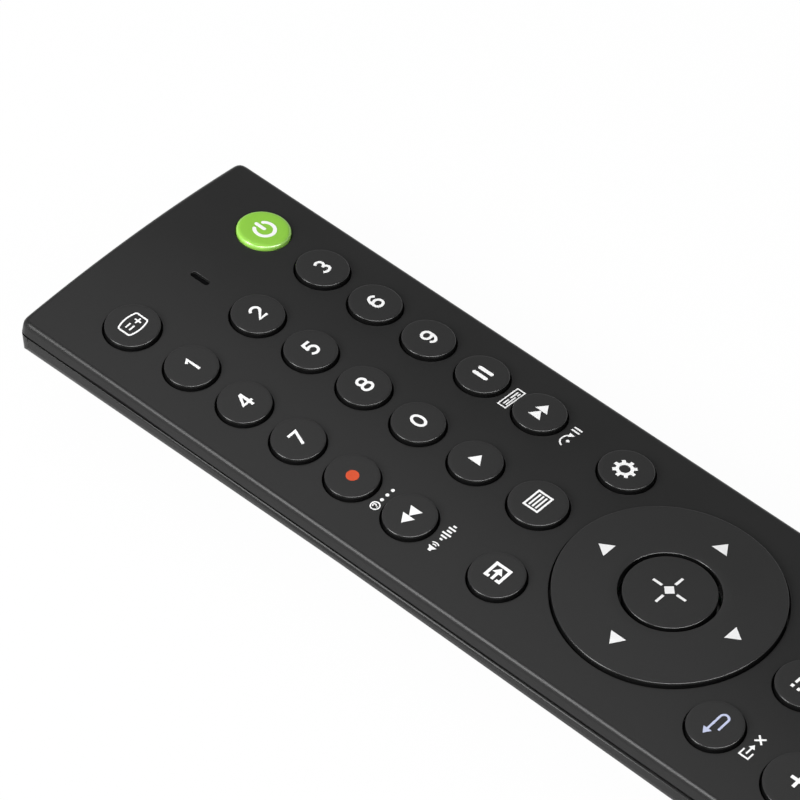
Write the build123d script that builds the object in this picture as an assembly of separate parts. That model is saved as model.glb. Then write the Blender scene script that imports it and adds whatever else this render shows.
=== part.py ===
"""Television remote control with two moulded case halves, a keypad on a rubber mat and a circuit board.

Millimetres. The origin is on the table under the middle of the case. +X points to the right-hand
key column, +Y to the infrared end and +Z out of the key side.
"""

import math
import os

from build123d import *

# Case outline: the length and width are taken at the top edge, and the sides spread down to the seam
LENGTH = 190.4
WIDTH = 49.0
SPREAD = 0.25
CORNER_R = 2.0
LEAST_CORNER_R = 0.5
CASE_HEIGHT = 19.0
CROWN_R = 200.0
EDGE_ROUND = 0.6
WALL = 1.6
SIDE_BAND = 2.45
SEAM_GAP = 0.2
SEAM_GROOVE = 0.4
LIP_HEIGHT = 1.2
LIP_WALL = 0.7
LIP_CLEARANCE = 0.1
OVERSHOOT = 5.0

# Belly of the lower case: an upright band, lowest at its waist, a bilge curve, a sloping flank and a flat keel
BAND_AT_TOP_END = 2.1
BAND_AT_WAIST = 1.3
BAND_AT_BATTERY_END = 3.4
WAIST_Y = 30.0
BILGE_R = 2.0
FLANK_DEG = 48.0
KEEL_R = 8.0
KEEL_TRIM = 0.02
NOSE_BILGE_R = 3.0
NOSE_KEEL_R = 30.0
NOSE_DEG = 24.0
TAIL_BILGE_R = 3.0
TAIL_KEEL_R = 6.0
TAIL_DEG = 65.0

# Key grid: rows are measured from the top edge of the infrared end down to each key's centre
COLUMN_PITCH = 14.65
ROW_POWER = 14.05
ROW_123 = 26.3
ROW_PITCH = 10.85
ROW_TRANSPORT = 70.25
ROW_LIST = 82.5
ROW_INPUT = 87.25
ROW_RING = 107.85
ROW_BACK = 128.5
ROW_MENU = 133.25
ROW_MUTE = 146.0
ROW_GUIDE = 158.1
ROW_ROCKER = 151.8
ROW_COLOURED = 173.3
COLOURED_PITCH = 10.6

# Key sizes
KEY_R = 4.165
SIDE_KEY_R = 4.3
MIDDLE_KEY_R = 4.58
COLOURED_KEY_R = 3.6
RING_R = 17.41
RING_BORE_R = 7.63
OK_R = 7.08
ROCKER_HALF_WIDTH = 5.2
ROCKER_CENTRES = 16.0
ROCKER_FOOT_LENGTH = 24.0
KEY_PROUD = 0.78
KEY_GAP = 0.33
KEY_EDGE = 0.22
POWER_EDGE = 0.4
WING_REACH = 0.8
WING_WIDTH = 5.0
FLANGE_BOTTOM = 15.4
FLANGE_TOP = 16.1

# Tilting keys sit a little lower, so that their rising side clears the crown
TILT_FLANGE_BOTTOM = 15.0
RING_FLANGE_TOP = 15.7
ROCKER_FLANGE_TOP = 15.6
RING_PLATE_BOTTOM = 17.2
RING_WALL_R = 13.6
CARRIER_OUTER_R = 13.1
CARRIER_INNER_R = 8.8
CARRIER_BOTTOM = 14.4
CARRIER_TOP = 16.6

# Half-round ribs that the tilting keys rock on; the hinge axes run along their centres
RIB_R = 0.3
FULCRUM_R = 0.4
FULCRUM_Z = 14.25

# Circuit board and rubber mat
BOARD_BOTTOM = 12.8
BOARD_TOP = 13.8
BOARD_WIDTH = 43.0
BOARD_LENGTH = 172.0
BOARD_CENTRE_Y = -1.0
BOARD_CORNER_R = 2.0
MAT_THICKNESS = 0.8
MAT_WIDTH = 42.0
MAT_TOP_Y = 84.0
MAT_BOTTOM_Y = -86.0
MAT_HOLE_GAP = 0.4

# Screws from the board into posts under the upper case
SCREW_BETWEEN_COLUMNS_X = COLUMN_PITCH / 2
SCREW_ROWS = (20.1, 76.3)
POST_R = 2.0
PILOT_R = 0.95
PILOT_DEPTH = 1.8
SCREW_R = 0.9
SCREW_HEAD_R = 1.7
SCREW_HEAD_HEIGHT = 0.7
SCREW_HOLE_GAP = 0.2
SCREW_TIP_GAP = 0.2

# Battery compartment for two AAA cells side by side
CELL_R = 5.25
CELL_BODY_LENGTH = 43.7
CELL_LENGTH = 44.5
CELL_TIP_R = 1.9
CELL_EDGE = 0.4
CELL_PITCH = 11.2
CELL_BOTTOM = 1.5
BAY_END_Y = -86.3
BAY_LENGTH = 50.5
BAY_HALF_WIDTH = 11.2
BAY_WALL = 1.4
BAY_END_WALL = 1.2
BAY_ROOF_BOTTOM = 12.05
BAY_ROOF_TOP = 12.65
PLATE_THICKNESS = 0.3
TIP_CLEARANCE = 0.05
PLATE_HALF_WIDTH = 4.6
PLATE_BOTTOM = 3.0
PLATE_TOP = 11.5
LEAF_WIDTH = 4.0
LEAF_THICKNESS = 0.3
LEAF_RISE = 2.2
LEAF_BEND_R = 0.9
LEAF_FOOT_R = 0.3
LEAF_CURL = 0.15
LEAF_AIR = 0.05

# Battery door: a slice of the belly's skin that slides off over the battery end
DOOR_HALF_WIDTH = 13.4
DOOR_FRONT_Y = -34.0
DOOR_THICKNESS = 1.3
DOOR_HEIGHT = 7.0
DOOR_GAP = 0.2
DOOR_TAB = (3.0, 1.8, 0.7)
TAB_CHANNEL = 0.3
HOOK_LENGTH = 6.0
HOOK_ROWS = (-42.0, -60.0, -78.0)
HOOK_BOTTOM = 3.2
HOOK_TOP = 4.0
HOOK_RIB = (12.85, 13.3)
HOOK_FOOT_X = 12.3
HOOK_GROOVE_X = 12.1
GRIP_GROOVES = 5
GRIP_SETBACK = 5.0
GRIP_PITCH = 1.6
GRIP_WIDTH = 12.0
GRIP_DEPTH = 0.35

# Indicator slot, infrared window and the parts on the board
SLOT_ROW = 14.35
SLOT_LENGTH = 3.5
SLOT_WIDTH = 1.0
SLOT_GAP = 0.05
GUIDE_SUNK = 0.5
GUIDE_GAP = 0.05
GUIDE_FLANGE = (5.0, 2.6, 0.8)
WINDOW_WIDTH = 16.0
WINDOW_BOTTOM = 12.6
WINDOW_TOP = 16.4
WINDOW_DEPTH = 1.5
WINDOW_GAP = 0.05
LED_R = 1.5
LED_LENGTH = 5.0
LED_NOSE = 1.0
LED_TIP_Y = 90.5
INDICATOR_LED_R = 1.5
INDICATOR_LED_TOP = 16.3
CHIP_PLACE = (0.0, 14.0)
CHIP_SIZE = (7.5, 12.8, 2.2)
CRYSTAL_PLACE = (12.5, 10.0)
CRYSTAL_SIZE = (4.6, 11.0, 3.4)
CAPACITOR_PLACE = (-12.0, 10.0)
CAPACITOR_R = 2.5
CAPACITOR_LENGTH = 8.0

# Ribs across the lower case, under the board
RIB_ROWS = (62.0, 30.0, -6.0)
RIB_THICKNESS = 1.0
RIB_TOP = 12.7
RIB_NOTCH = 20.0
RIB_FLOOR = 5.0

# Derived levels and half sizes
HALF_LENGTH = LENGTH / 2
SEAM_HALF_WIDTH = WIDTH / 2 + SPREAD
SEAM_HALF_LENGTH = HALF_LENGTH + SPREAD
CROWN_DROP = CROWN_R - math.sqrt(CROWN_R**2 - (WIDTH / 2) ** 2)
SEAM_Z = CASE_HEIGHT - CROWN_DROP - SIDE_BAND
MAT_TOP = BOARD_TOP + MAT_THICKNESS
BAY_START_Y = BAY_END_Y + BAY_LENGTH
CELL_Z = CELL_BOTTOM + CELL_R


def row(distance):
    """Y of a row at this distance from the infrared end."""
    return HALF_LENGTH - distance


# Round keys: name, column X, row Y, radius and width of the bevelled top edge
ROUND_KEYS = [
    ("key_power", COLUMN_PITCH, row(ROW_POWER), SIDE_KEY_R, POWER_EDGE),
    ("key_screen_info", -COLUMN_PITCH, row(ROW_POWER), SIDE_KEY_R, KEY_EDGE),
    ("key_record", -COLUMN_PITCH, row(ROW_123 + 3 * ROW_PITCH), KEY_R, KEY_EDGE),
    ("key_0", 0.0, row(ROW_123 + 3 * ROW_PITCH), KEY_R, KEY_EDGE),
    ("key_pause", COLUMN_PITCH, row(ROW_123 + 3 * ROW_PITCH), KEY_R, KEY_EDGE),
    ("key_rewind", -COLUMN_PITCH, row(ROW_TRANSPORT), KEY_R, KEY_EDGE),
    ("key_play", 0.0, row(ROW_TRANSPORT), KEY_R, KEY_EDGE),
    ("key_forward", COLUMN_PITCH, row(ROW_TRANSPORT), KEY_R, KEY_EDGE),
    ("key_list", 0.0, row(ROW_LIST), MIDDLE_KEY_R, KEY_EDGE),
    ("key_input", -COLUMN_PITCH, row(ROW_INPUT), SIDE_KEY_R, KEY_EDGE),
    ("key_settings", COLUMN_PITCH, row(ROW_INPUT), SIDE_KEY_R, KEY_EDGE),
    ("key_ok", 0.0, row(ROW_RING), OK_R, KEY_EDGE),
    ("key_back", -COLUMN_PITCH, row(ROW_BACK), SIDE_KEY_R, KEY_EDGE),
    ("key_home", COLUMN_PITCH, row(ROW_BACK), SIDE_KEY_R, KEY_EDGE),
    ("key_menu", 0.0, row(ROW_MENU), MIDDLE_KEY_R, KEY_EDGE),
    ("key_mute", 0.0, row(ROW_MUTE), MIDDLE_KEY_R, KEY_EDGE),
    ("key_guide", 0.0, row(ROW_GUIDE), MIDDLE_KEY_R, KEY_EDGE),
]
for digit in range(1, 10):
    line, column = divmod(digit - 1, 3)
    ROUND_KEYS.append(
        (f"key_{digit}", (column - 1) * COLUMN_PITCH, row(ROW_123 + line * ROW_PITCH), KEY_R, KEY_EDGE)
    )
for step, colour in enumerate(("red", "green", "yellow", "blue")):
    ROUND_KEYS.append(
        (f"key_{colour}", (step - 1.5) * COLOURED_PITCH, row(ROW_COLOURED), COLOURED_KEY_R, KEY_EDGE)
    )
ROCKERS = {"key_volume": -COLUMN_PITCH, "key_channel": COLUMN_PITCH}
SCREWS = [(side * SCREW_BETWEEN_COLUMNS_X, row(y)) for side in (-1, 1) for y in SCREW_ROWS]


def cylinder(radius, bottom, top, x=0.0, y=0.0):
    """Upright cylinder between two heights."""
    return Pos(x, y, (bottom + top) / 2) * Cylinder(radius, top - bottom)


def block(x_range, y_range, z_range):
    """Box between the given limits."""
    size = [high - low for low, high in (x_range, y_range, z_range)]
    centre = [(high + low) / 2 for low, high in (x_range, y_range, z_range)]
    return Pos(*centre) * Box(*size)


def upright_slot(x, y, centres, width, bottom, top):
    """Upright pill shape with its long side along Y."""
    outline = Pos(x, y, bottom) * Rot(Z=90) * SlotCenterToCenter(centres, width)
    return extrude(outline, top - bottom)


def crown_solid(offset):
    """Everything under the crowned top face, moved out by offset."""
    length = LENGTH + 4 * OVERSHOOT
    return Pos(Z=CASE_HEIGHT - CROWN_R) * Rot(X=90) * Cylinder(CROWN_R + offset, length)


def plan_outline(inset):
    """Rounded outline of the case at the seam, drawn in by inset."""
    corner = max(CORNER_R + SPREAD - inset, LEAST_CORNER_R)
    return RectangleRounded(2 * (SEAM_HALF_WIDTH - inset), 2 * (SEAM_HALF_LENGTH - inset), corner)


def plan_prism(inset, bottom, top):
    """Upright prism on the plan outline."""
    return extrude(Pos(Z=bottom) * plan_outline(inset), top - bottom)


def belly_curve(half, band, bilge_r, slope_deg, keel_r, inset, below=0.0):
    """Half of a belly profile, from the seam down to the keel, which can end a little below its level."""
    slope = math.radians(slope_deg)
    turn = math.pi / 2 - slope
    outer, keel_z = half - inset, inset - below
    bilge, keel = bilge_r - inset, keel_r - inset

    def on_arc(centre, radius, angle):
        return (centre[0] + radius * math.cos(angle), centre[1] - radius * math.sin(angle))

    bilge_centre = (outer - bilge, SEAM_Z - band)
    bilge_start, bilge_end = (outer, SEAM_Z - band), on_arc(bilge_centre, bilge, turn)
    keel_top = keel_z + keel - keel * math.sin(turn)
    run = (bilge_end[1] - keel_top) / math.tan(slope)
    keel_centre = (bilge_end[0] - run - keel * math.cos(turn), keel_z + keel)
    return [
        Line((outer, SEAM_Z), bilge_start),
        ThreePointArc(bilge_start, on_arc(bilge_centre, bilge, turn / 2), bilge_end),
        Line(bilge_end, on_arc(keel_centre, keel, turn)),
        ThreePointArc(
            on_arc(keel_centre, keel, turn),
            on_arc(keel_centre, keel, (turn + math.pi / 2) / 2),
            (keel_centre[0], keel_z),
        ),
    ]


def belly_face(right, left):
    """Closed face between a right-hand and a left-hand belly curve."""
    mirrored = [mirror(edge, Plane.YZ) for edge in left]
    keel = Line(right[-1] @ 1, mirrored[-1] @ 1)
    top = Line(right[0] @ 0, mirrored[0] @ 0)
    return make_face(Curve() + right + mirrored + [keel, top])


def belly_solid(inset):
    """The whole volume of the lower case below the seam, drawn in by inset.

    The cross sections end just below the keel level, so that the side view's flat line cuts the keel.
    """
    sections = []
    end_y = HALF_LENGTH + OVERSHOOT
    bands = ((end_y, BAND_AT_TOP_END), (WAIST_Y, BAND_AT_WAIST), (-end_y, BAND_AT_BATTERY_END))
    for y, band in bands:
        curve = belly_curve(SEAM_HALF_WIDTH, band, BILGE_R, FLANK_DEG, KEEL_R, inset, KEEL_TRIM)
        sections.append(Plane.XZ.offset(-y) * belly_face(curve, curve))
    hull = loft(sections, ruled=True)
    nose = belly_curve(SEAM_HALF_LENGTH, BAND_AT_TOP_END, NOSE_BILGE_R, NOSE_DEG, NOSE_KEEL_R, inset)
    tail = belly_curve(SEAM_HALF_LENGTH, BAND_AT_BATTERY_END, TAIL_BILGE_R, TAIL_DEG, TAIL_KEEL_R, inset)
    side_view = extrude(Plane.YZ * belly_face(nose, tail), WIDTH, both=True)
    return hull & side_view & plan_prism(inset, 0, SEAM_Z)


def upper_shell_volume(inset):
    """The drafted volume of the upper case under its crown, drawn in by inset."""
    draft = math.degrees(math.atan2(SPREAD, SIDE_BAND))
    block_above_seam = extrude(Pos(Z=SEAM_Z) * plan_outline(inset), CASE_HEIGHT - SEAM_Z + 2, taper=draft)
    return block_above_seam & crown_solid(-inset)


def window_block(gap):
    """Box through the end walls that the infrared window fills."""
    half = WINDOW_WIDTH / 2 - gap
    depth = (SEAM_HALF_LENGTH - WINDOW_DEPTH, SEAM_HALF_LENGTH + OVERSHOOT)
    return block((-half, half), depth, (WINDOW_BOTTOM + gap, WINDOW_TOP - gap))


def upper_case():
    """Upper shell with its crown, key holes, indicator slot and screw posts."""
    outer = upper_shell_volume(0)
    rim = outer.edges().filter_by(lambda edge: edge.center().Z > SEAM_Z + SIDE_BAND * 0.8)
    shell = fillet(rim, EDGE_ROUND) - upper_shell_volume(WALL)
    rebate_top = SEAM_Z + LIP_HEIGHT + LIP_CLEARANCE
    shell -= plan_prism(WALL - LIP_WALL - LIP_CLEARANCE, SEAM_Z - 1, rebate_top)
    cut = (SEAM_Z, CASE_HEIGHT + 1)
    holes = [cylinder(r + KEY_GAP, *cut, x, y) for name, x, y, r, _ in ROUND_KEYS if name != "key_ok"]
    holes.append(cylinder(RING_R + KEY_GAP, *cut, 0, row(ROW_RING)))
    for x in ROCKERS.values():
        width = 2 * (ROCKER_HALF_WIDTH + KEY_GAP)
        holes.append(upright_slot(x, row(ROW_ROCKER), ROCKER_CENTRES, width, *cut))
    slot_width = SLOT_WIDTH + 2 * SLOT_GAP
    holes.append(upright_slot(0, row(SLOT_ROW), SLOT_LENGTH - SLOT_WIDTH, slot_width, *cut))
    posts = [cylinder(POST_R, BOARD_TOP, CASE_HEIGHT, x, y) for x, y in SCREWS]
    shell += [post & crown_solid(-WALL / 2) for post in posts]
    pilots = [cylinder(PILOT_R, BOARD_TOP - 1, BOARD_TOP + PILOT_DEPTH, x, y) for x, y in SCREWS]
    return shell - holes - pilots - window_block(0)


def door_region(gap):
    """Block that marks out the door's slice of the belly, grown by gap."""
    half = DOOR_HALF_WIDTH + gap
    return block((-half, half), (-LENGTH, DOOR_FRONT_Y + gap), (-1, DOOR_HEIGHT + gap))


def battery_bay():
    """Battery compartment: side walls, roof and two bulkheads that join it to the belly."""
    outer = BAY_HALF_WIDTH + BAY_WALL
    bottom = DOOR_THICKNESS + DOOR_GAP
    front = (BAY_START_Y, BAY_START_Y + BAY_END_WALL)
    back = (BAY_END_Y - BAY_END_WALL, BAY_END_Y)
    bay = block((-outer, outer), (back[0], front[1]), (bottom, BAY_ROOF_TOP))
    bay -= block((-BAY_HALF_WIDTH, BAY_HALF_WIDTH), (BAY_END_Y, BAY_START_Y), (0, BAY_ROOF_BOTTOM))
    bay += [block((-WIDTH, WIDTH), span, (bottom, BAY_ROOF_TOP)) for span in (front, back)]
    tab_width, _, tab_height = DOOR_TAB
    channel_half, channel_top = tab_width / 2 + TAB_CHANNEL, WALL + DOOR_GAP + tab_height + TAB_CHANNEL
    bay -= block((-channel_half, channel_half), (-LENGTH, 0), (0, channel_top))
    for side in (-1, 1):
        run = (-LENGTH, DOOR_FRONT_Y + DOOR_GAP)
        track = sorted((side * HOOK_GROOVE_X, side * (DOOR_HALF_WIDTH + DOOR_GAP)))
        bay -= block(track, run, (HOOK_BOTTOM - DOOR_GAP, HOOK_TOP + DOOR_GAP))
        beside = sorted((side * outer, side * (DOOR_HALF_WIDTH + DOOR_GAP)))
        bay -= block(beside, run, (0, HOOK_TOP + DOOR_GAP))
    bay -= door_region(DOOR_GAP) - belly_solid(DOOR_THICKNESS + DOOR_GAP)
    return bay & belly_solid(WALL / 2)


def lower_case():
    """Lower shell with its lip, battery compartment and board ribs."""
    shell = belly_solid(0) - belly_solid(WALL)
    gap_levels = (SEAM_Z - SEAM_GAP, SEAM_Z)
    groove = plan_prism(-1, *gap_levels) - plan_prism(SEAM_GROOVE, *gap_levels)
    lip_levels = (SEAM_Z - 1, SEAM_Z + LIP_HEIGHT)
    lip = plan_prism(WALL - LIP_WALL, *lip_levels) - plan_prism(WALL, *lip_levels)
    shell = shell - groove + lip
    shell = shell - door_region(DOOR_GAP) + battery_bay()
    floor = belly_solid(WALL / 2)
    for y in RIB_ROWS:
        span = (y - RIB_THICKNESS / 2, y + RIB_THICKNESS / 2)
        rib = block((-WIDTH, WIDTH), span, (0, RIB_TOP)) & floor
        rib -= block((-RIB_NOTCH / 2, RIB_NOTCH / 2), span, (RIB_FLOOR, RIB_TOP))
        shell += rib
    return shell - window_block(0)


def battery_door():
    """Sliding door: belly skin with hooks, a front tab and thumb grooves."""
    door = (belly_solid(0) - belly_solid(DOOR_THICKNESS)) & door_region(0)
    tab_width, tab_length, tab_height = DOOR_TAB
    tab_bottom = WALL + DOOR_GAP
    door += block(
        (-tab_width / 2, tab_width / 2),
        (DOOR_FRONT_Y - tab_length, DOOR_FRONT_Y + tab_length),
        (tab_bottom, tab_bottom + tab_height),
    )
    door += block(
        (-tab_width / 2, tab_width / 2),
        (DOOR_FRONT_Y - tab_length, DOOR_FRONT_Y),
        (DOOR_THICKNESS / 2, tab_bottom + tab_height),
    )
    for side in (-1, 1):
        for y in HOOK_ROWS:
            span = (y - HOOK_LENGTH / 2, y + HOOK_LENGTH / 2)
            rib = block(sorted(side * x for x in HOOK_RIB), span, (DOOR_THICKNESS, HOOK_TOP))
            foot = block(sorted((side * HOOK_FOOT_X, side * HOOK_RIB[1])), span, (HOOK_BOTTOM, HOOK_TOP))
            door += [rib, foot]
    for step in range(GRIP_GROOVES):
        y = DOOR_FRONT_Y - GRIP_SETBACK - step * GRIP_PITCH
        door -= Pos(0, y, 0) * Rot(Y=90) * Cylinder(GRIP_DEPTH, GRIP_WIDTH)
    return door


def round_key(x, y, radius, edge):
    """Round key cap with two wings that hold it under the case wall."""
    cap = cylinder(radius, FLANGE_BOTTOM, CASE_HEIGHT + 2, x, y) & crown_solid(KEY_PROUD)
    rim = cap.edges().sort_by(Axis.Z)[-1]
    reach, half = radius + WING_REACH, WING_WIDTH / 2
    wings = block((x - reach, x + reach), (y - half, y + half), (FLANGE_BOTTOM, FLANGE_TOP))
    return chamfer(rim, edge) + wings


def carrier_zone(bottom, top):
    """Ring-shaped space of the rubber carrier between two heights."""
    y = row(ROW_RING)
    outer = cylinder(CARRIER_OUTER_R, bottom, top, 0, y)
    return outer - cylinder(CARRIER_INNER_R, bottom - 1, top + 1, 0, y)


def navigation_ring():
    """Ring key: a plate with a deep outer wall, a flange, a bore for the middle key and its rocking rib."""
    y = row(ROW_RING)
    ring = cylinder(RING_R, TILT_FLANGE_BOTTOM, CASE_HEIGHT + 2, 0, y) & crown_solid(KEY_PROUD)
    ring = chamfer(ring.edges().sort_by(Axis.Z)[-1], KEY_EDGE)
    ring += cylinder(RING_R + WING_REACH, TILT_FLANGE_BOTTOM, RING_FLANGE_TOP, 0, y)
    ring -= cylinder(RING_WALL_R, TILT_FLANGE_BOTTOM - 1, RING_PLATE_BOTTOM, 0, y)
    rib = Pos(0, y, RING_PLATE_BOTTOM) * Rot(X=90) * Cylinder(RIB_R, 2 * CARRIER_OUTER_R)
    ring += rib & carrier_zone(RING_PLATE_BOTTOM - 1, RING_PLATE_BOTTOM + 1)
    return ring - cylinder(RING_BORE_R, RING_PLATE_BOTTOM - 1, CASE_HEIGHT + 2, 0, y)


def navigation_carrier():
    """Rubber ring inside the ring key, with the half-round rib across the case that it rocks on."""
    rib = Pos(0, row(ROW_RING), CARRIER_BOTTOM) * Rot(Y=90) * Cylinder(RIB_R, 2 * CARRIER_OUTER_R)
    return carrier_zone(CARRIER_BOTTOM, CARRIER_TOP) + (rib & carrier_zone(CARRIER_BOTTOM - 1, CARRIER_TOP))


def rocker_key(x):
    """Long rocker key on a flat foot that holds it under the case wall, with a rounded rib to rock on."""
    y = row(ROW_ROCKER)
    levels = (TILT_FLANGE_BOTTOM, CASE_HEIGHT + 2)
    body = upright_slot(x, y, ROCKER_CENTRES, 2 * ROCKER_HALF_WIDTH, *levels) & crown_solid(KEY_PROUD)
    body = chamfer(body.faces().sort_by(Axis.Z)[-1].edges(), KEY_EDGE)
    half_width, half_length = ROCKER_HALF_WIDTH + WING_REACH, ROCKER_FOOT_LENGTH / 2
    across = (x - half_width, x + half_width)
    foot = block(across, (y - half_length, y + half_length), (TILT_FLANGE_BOTTOM, ROCKER_FLANGE_TOP))
    stem = block(across, (y - FULCRUM_R, y + FULCRUM_R), (FULCRUM_Z, TILT_FLANGE_BOTTOM))
    tip = Pos(x, y, FULCRUM_Z) * Rot(Y=90) * Cylinder(FULCRUM_R, 2 * half_width)
    return body + foot + stem + tip


def keypad_mat():
    """Rubber mat on the board, open under the tilting keys and round the screw posts."""
    half, below, above = MAT_WIDTH / 2, BOARD_TOP - 1, MAT_TOP + 1
    mat = block((-half, half), (MAT_BOTTOM_Y, MAT_TOP_Y), (BOARD_TOP, MAT_TOP))
    holes = [cylinder(RING_R + WING_REACH + MAT_HOLE_GAP, below, above, 0, row(ROW_RING))]
    holes += [cylinder(POST_R + MAT_HOLE_GAP, below, above, x, y) for x, y in SCREWS]
    holes.append(cylinder(INDICATOR_LED_R + MAT_HOLE_GAP, below, above, 0, row(SLOT_ROW)))
    foot_half = ROCKER_HALF_WIDTH + WING_REACH + MAT_HOLE_GAP
    rocker_length = ROCKER_CENTRES + 2 * ROCKER_HALF_WIDTH
    half_length = max(ROCKER_FOOT_LENGTH, rocker_length) / 2 + MAT_HOLE_GAP
    y = row(ROW_ROCKER)
    span = (y - half_length, y + half_length)
    holes += [block((x - foot_half, x + foot_half), span, (below, above)) for x in ROCKERS.values()]
    return mat - holes


def circuit_board():
    """Printed circuit board with its screw holes."""
    outline = RectangleRounded(BOARD_WIDTH, BOARD_LENGTH, BOARD_CORNER_R)
    board = extrude(Pos(0, BOARD_CENTRE_Y, BOARD_BOTTOM) * outline, BOARD_TOP - BOARD_BOTTOM)
    hole_r = SCREW_R + SCREW_HOLE_GAP
    return board - [cylinder(hole_r, BOARD_BOTTOM - 1, BOARD_TOP + 1, x, y) for x, y in SCREWS]


def board_screws():
    """Self-tapping screws with pan heads under the board."""
    screws = []
    for x, y in SCREWS:
        head = cylinder(SCREW_HEAD_R, BOARD_BOTTOM - SCREW_HEAD_HEIGHT, BOARD_BOTTOM, x, y)
        screws.append(head + cylinder(SCREW_R, BOARD_BOTTOM, BOARD_TOP + PILOT_DEPTH - SCREW_TIP_GAP, x, y))
    return Compound(children=screws)


def indicator_light_guide():
    """Smoked light guide that fills the indicator slot from below."""
    y, top = row(SLOT_ROW), CASE_HEIGHT - GUIDE_SUNK
    length, width, height = GUIDE_FLANGE
    flange_top = CASE_HEIGHT - WALL - GUIDE_GAP
    flange_bottom = flange_top - height
    guide = upright_slot(0, y, SLOT_LENGTH - SLOT_WIDTH, SLOT_WIDTH, flange_bottom, top)
    flange = Box(width, length, height)
    return guide + Pos(0, y, (flange_bottom + flange_top) / 2) * flange


def indicator_led():
    """Small round lamp on the board under the light guide."""
    y = row(SLOT_ROW)
    return cylinder(INDICATOR_LED_R, BOARD_TOP, INDICATOR_LED_TOP, 0, y)


def ir_window():
    """Dark window flush with the end walls."""
    ends = upper_shell_volume(0) + belly_solid(0)
    return ends & window_block(WINDOW_GAP)


def ir_led():
    """Infrared lamp at the board's end, aimed along +Y, with its nose drawn in."""
    z = (BOARD_BOTTOM + BOARD_TOP) / 2
    body = Pos(0, LED_TIP_Y - LED_LENGTH / 2, z) * Rot(X=90) * Cylinder(LED_R, LED_LENGTH)
    return chamfer(body.edges().filter_by(GeomType.CIRCLE).sort_by(Axis.Y)[-1], LED_NOSE)


def board_part(x, y, size):
    """Block-shaped part hanging under the board."""
    length_x, length_y, height = size
    return Pos(x, y, BOARD_BOTTOM - height / 2) * Box(length_x, length_y, height)


def capacitor():
    """Electrolytic capacitor lying under the board."""
    x, y = CAPACITOR_PLACE
    return Pos(x, y, BOARD_BOTTOM - CAPACITOR_R) * Rot(X=90) * Cylinder(CAPACITOR_R, CAPACITOR_LENGTH)


def battery(x, tip_direction):
    """AAA cell along Y with its raised tip."""
    middle = (BAY_START_Y + BAY_END_Y) / 2
    tip_end = middle + tip_direction * (BAY_LENGTH / 2 - PLATE_THICKNESS - TIP_CLEARANCE)
    body_end = tip_end - tip_direction * (CELL_LENGTH - CELL_BODY_LENGTH)
    body_centre = body_end - tip_direction * CELL_BODY_LENGTH / 2
    body = Pos(x, body_centre, CELL_Z) * Rot(X=90) * Cylinder(CELL_R, CELL_BODY_LENGTH)
    body = chamfer(body.edges().filter_by(GeomType.CIRCLE), CELL_EDGE)
    tip = Pos(x, (tip_end + body_centre) / 2, CELL_Z) * Rot(X=90)
    return body + tip * Cylinder(CELL_TIP_R, abs(tip_end - body_centre))


def contact_plates():
    """Spring steel plates at both ends of the battery compartment."""
    half, levels = PLATE_HALF_WIDTH, (PLATE_BOTTOM, PLATE_TOP)
    start = (BAY_START_Y - PLATE_THICKNESS, BAY_START_Y)
    end = (BAY_END_Y, BAY_END_Y + PLATE_THICKNESS)
    centres = (-CELL_PITCH / 2, CELL_PITCH / 2)
    plates = [block((x - half, x + half), start, levels) for x in centres]
    bridge = block((centres[0] - half, centres[1] + half), end, levels)
    return Compound(children=plates + [bridge])


def battery_spring(x, direction):
    """Bent leaf between a contact plate and the flat end of its cell."""
    end = BAY_END_Y if direction > 0 else BAY_START_Y
    gap = BAY_LENGTH - 2 * PLATE_THICKNESS - TIP_CLEARANCE - CELL_LENGTH
    reach = gap - 2 * LEAF_AIR - LEAF_THICKNESS
    foot = end + direction * (PLATE_THICKNESS + LEAF_AIR + LEAF_THICKNESS / 2)
    heights = (-LEAF_RISE - LEAF_BEND_R, -LEAF_RISE, 0, LEAF_RISE, LEAF_RISE + LEAF_BEND_R)
    depths = (LEAF_CURL, 0, 1, 0, LEAF_CURL)
    points = [(foot + direction * reach * depth, CELL_Z + height) for depth, height in zip(depths, heights)]
    bends = FilletPolyline(*points, radius=[LEAF_FOOT_R, LEAF_BEND_R, LEAF_FOOT_R])
    path = Plane.YZ.offset(x - LEAF_WIDTH / 2) * bends
    start = Plane(path @ 0, x_dir=(1, 0, 0), z_dir=path % 0)
    return sweep(start * Pos(LEAF_WIDTH / 2, 0) * Rectangle(LEAF_WIDTH, LEAF_THICKNESS), path)


def build():
    """Every node of the remote by name."""
    springs = [battery_spring(-CELL_PITCH / 2, 1), battery_spring(CELL_PITCH / 2, -1)]
    nodes = {
        "upper_case": upper_case(),
        "lower_case": lower_case(),
        "battery_door": battery_door(),
        "ir_window": ir_window(),
        "indicator_light_guide": indicator_light_guide(),
        "indicator_led": indicator_led(),
        "ir_led": ir_led(),
        "keypad_mat": keypad_mat(),
        "circuit_board": circuit_board(),
        "board_screws": board_screws(),
        "controller_chip": board_part(*CHIP_PLACE, CHIP_SIZE),
        "crystal": board_part(*CRYSTAL_PLACE, CRYSTAL_SIZE),
        "capacitor": capacitor(),
        "battery_left": battery(-CELL_PITCH / 2, 1),
        "battery_right": battery(CELL_PITCH / 2, -1),
        "battery_contacts": contact_plates(),
        "battery_springs": Compound(children=springs),
        "navigation_carrier": navigation_carrier(),
        "key_navigation": navigation_ring(),
    }
    for name, x, y, radius, edge in ROUND_KEYS:
        nodes[name] = round_key(x, y, radius, edge)
    for name, x in ROCKERS.items():
        nodes[name] = rocker_key(x)
    return nodes


os.makedirs("parts", exist_ok=True)
for name, shape in build().items():
    export_step(shape, f"parts/{name}.step")
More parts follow.
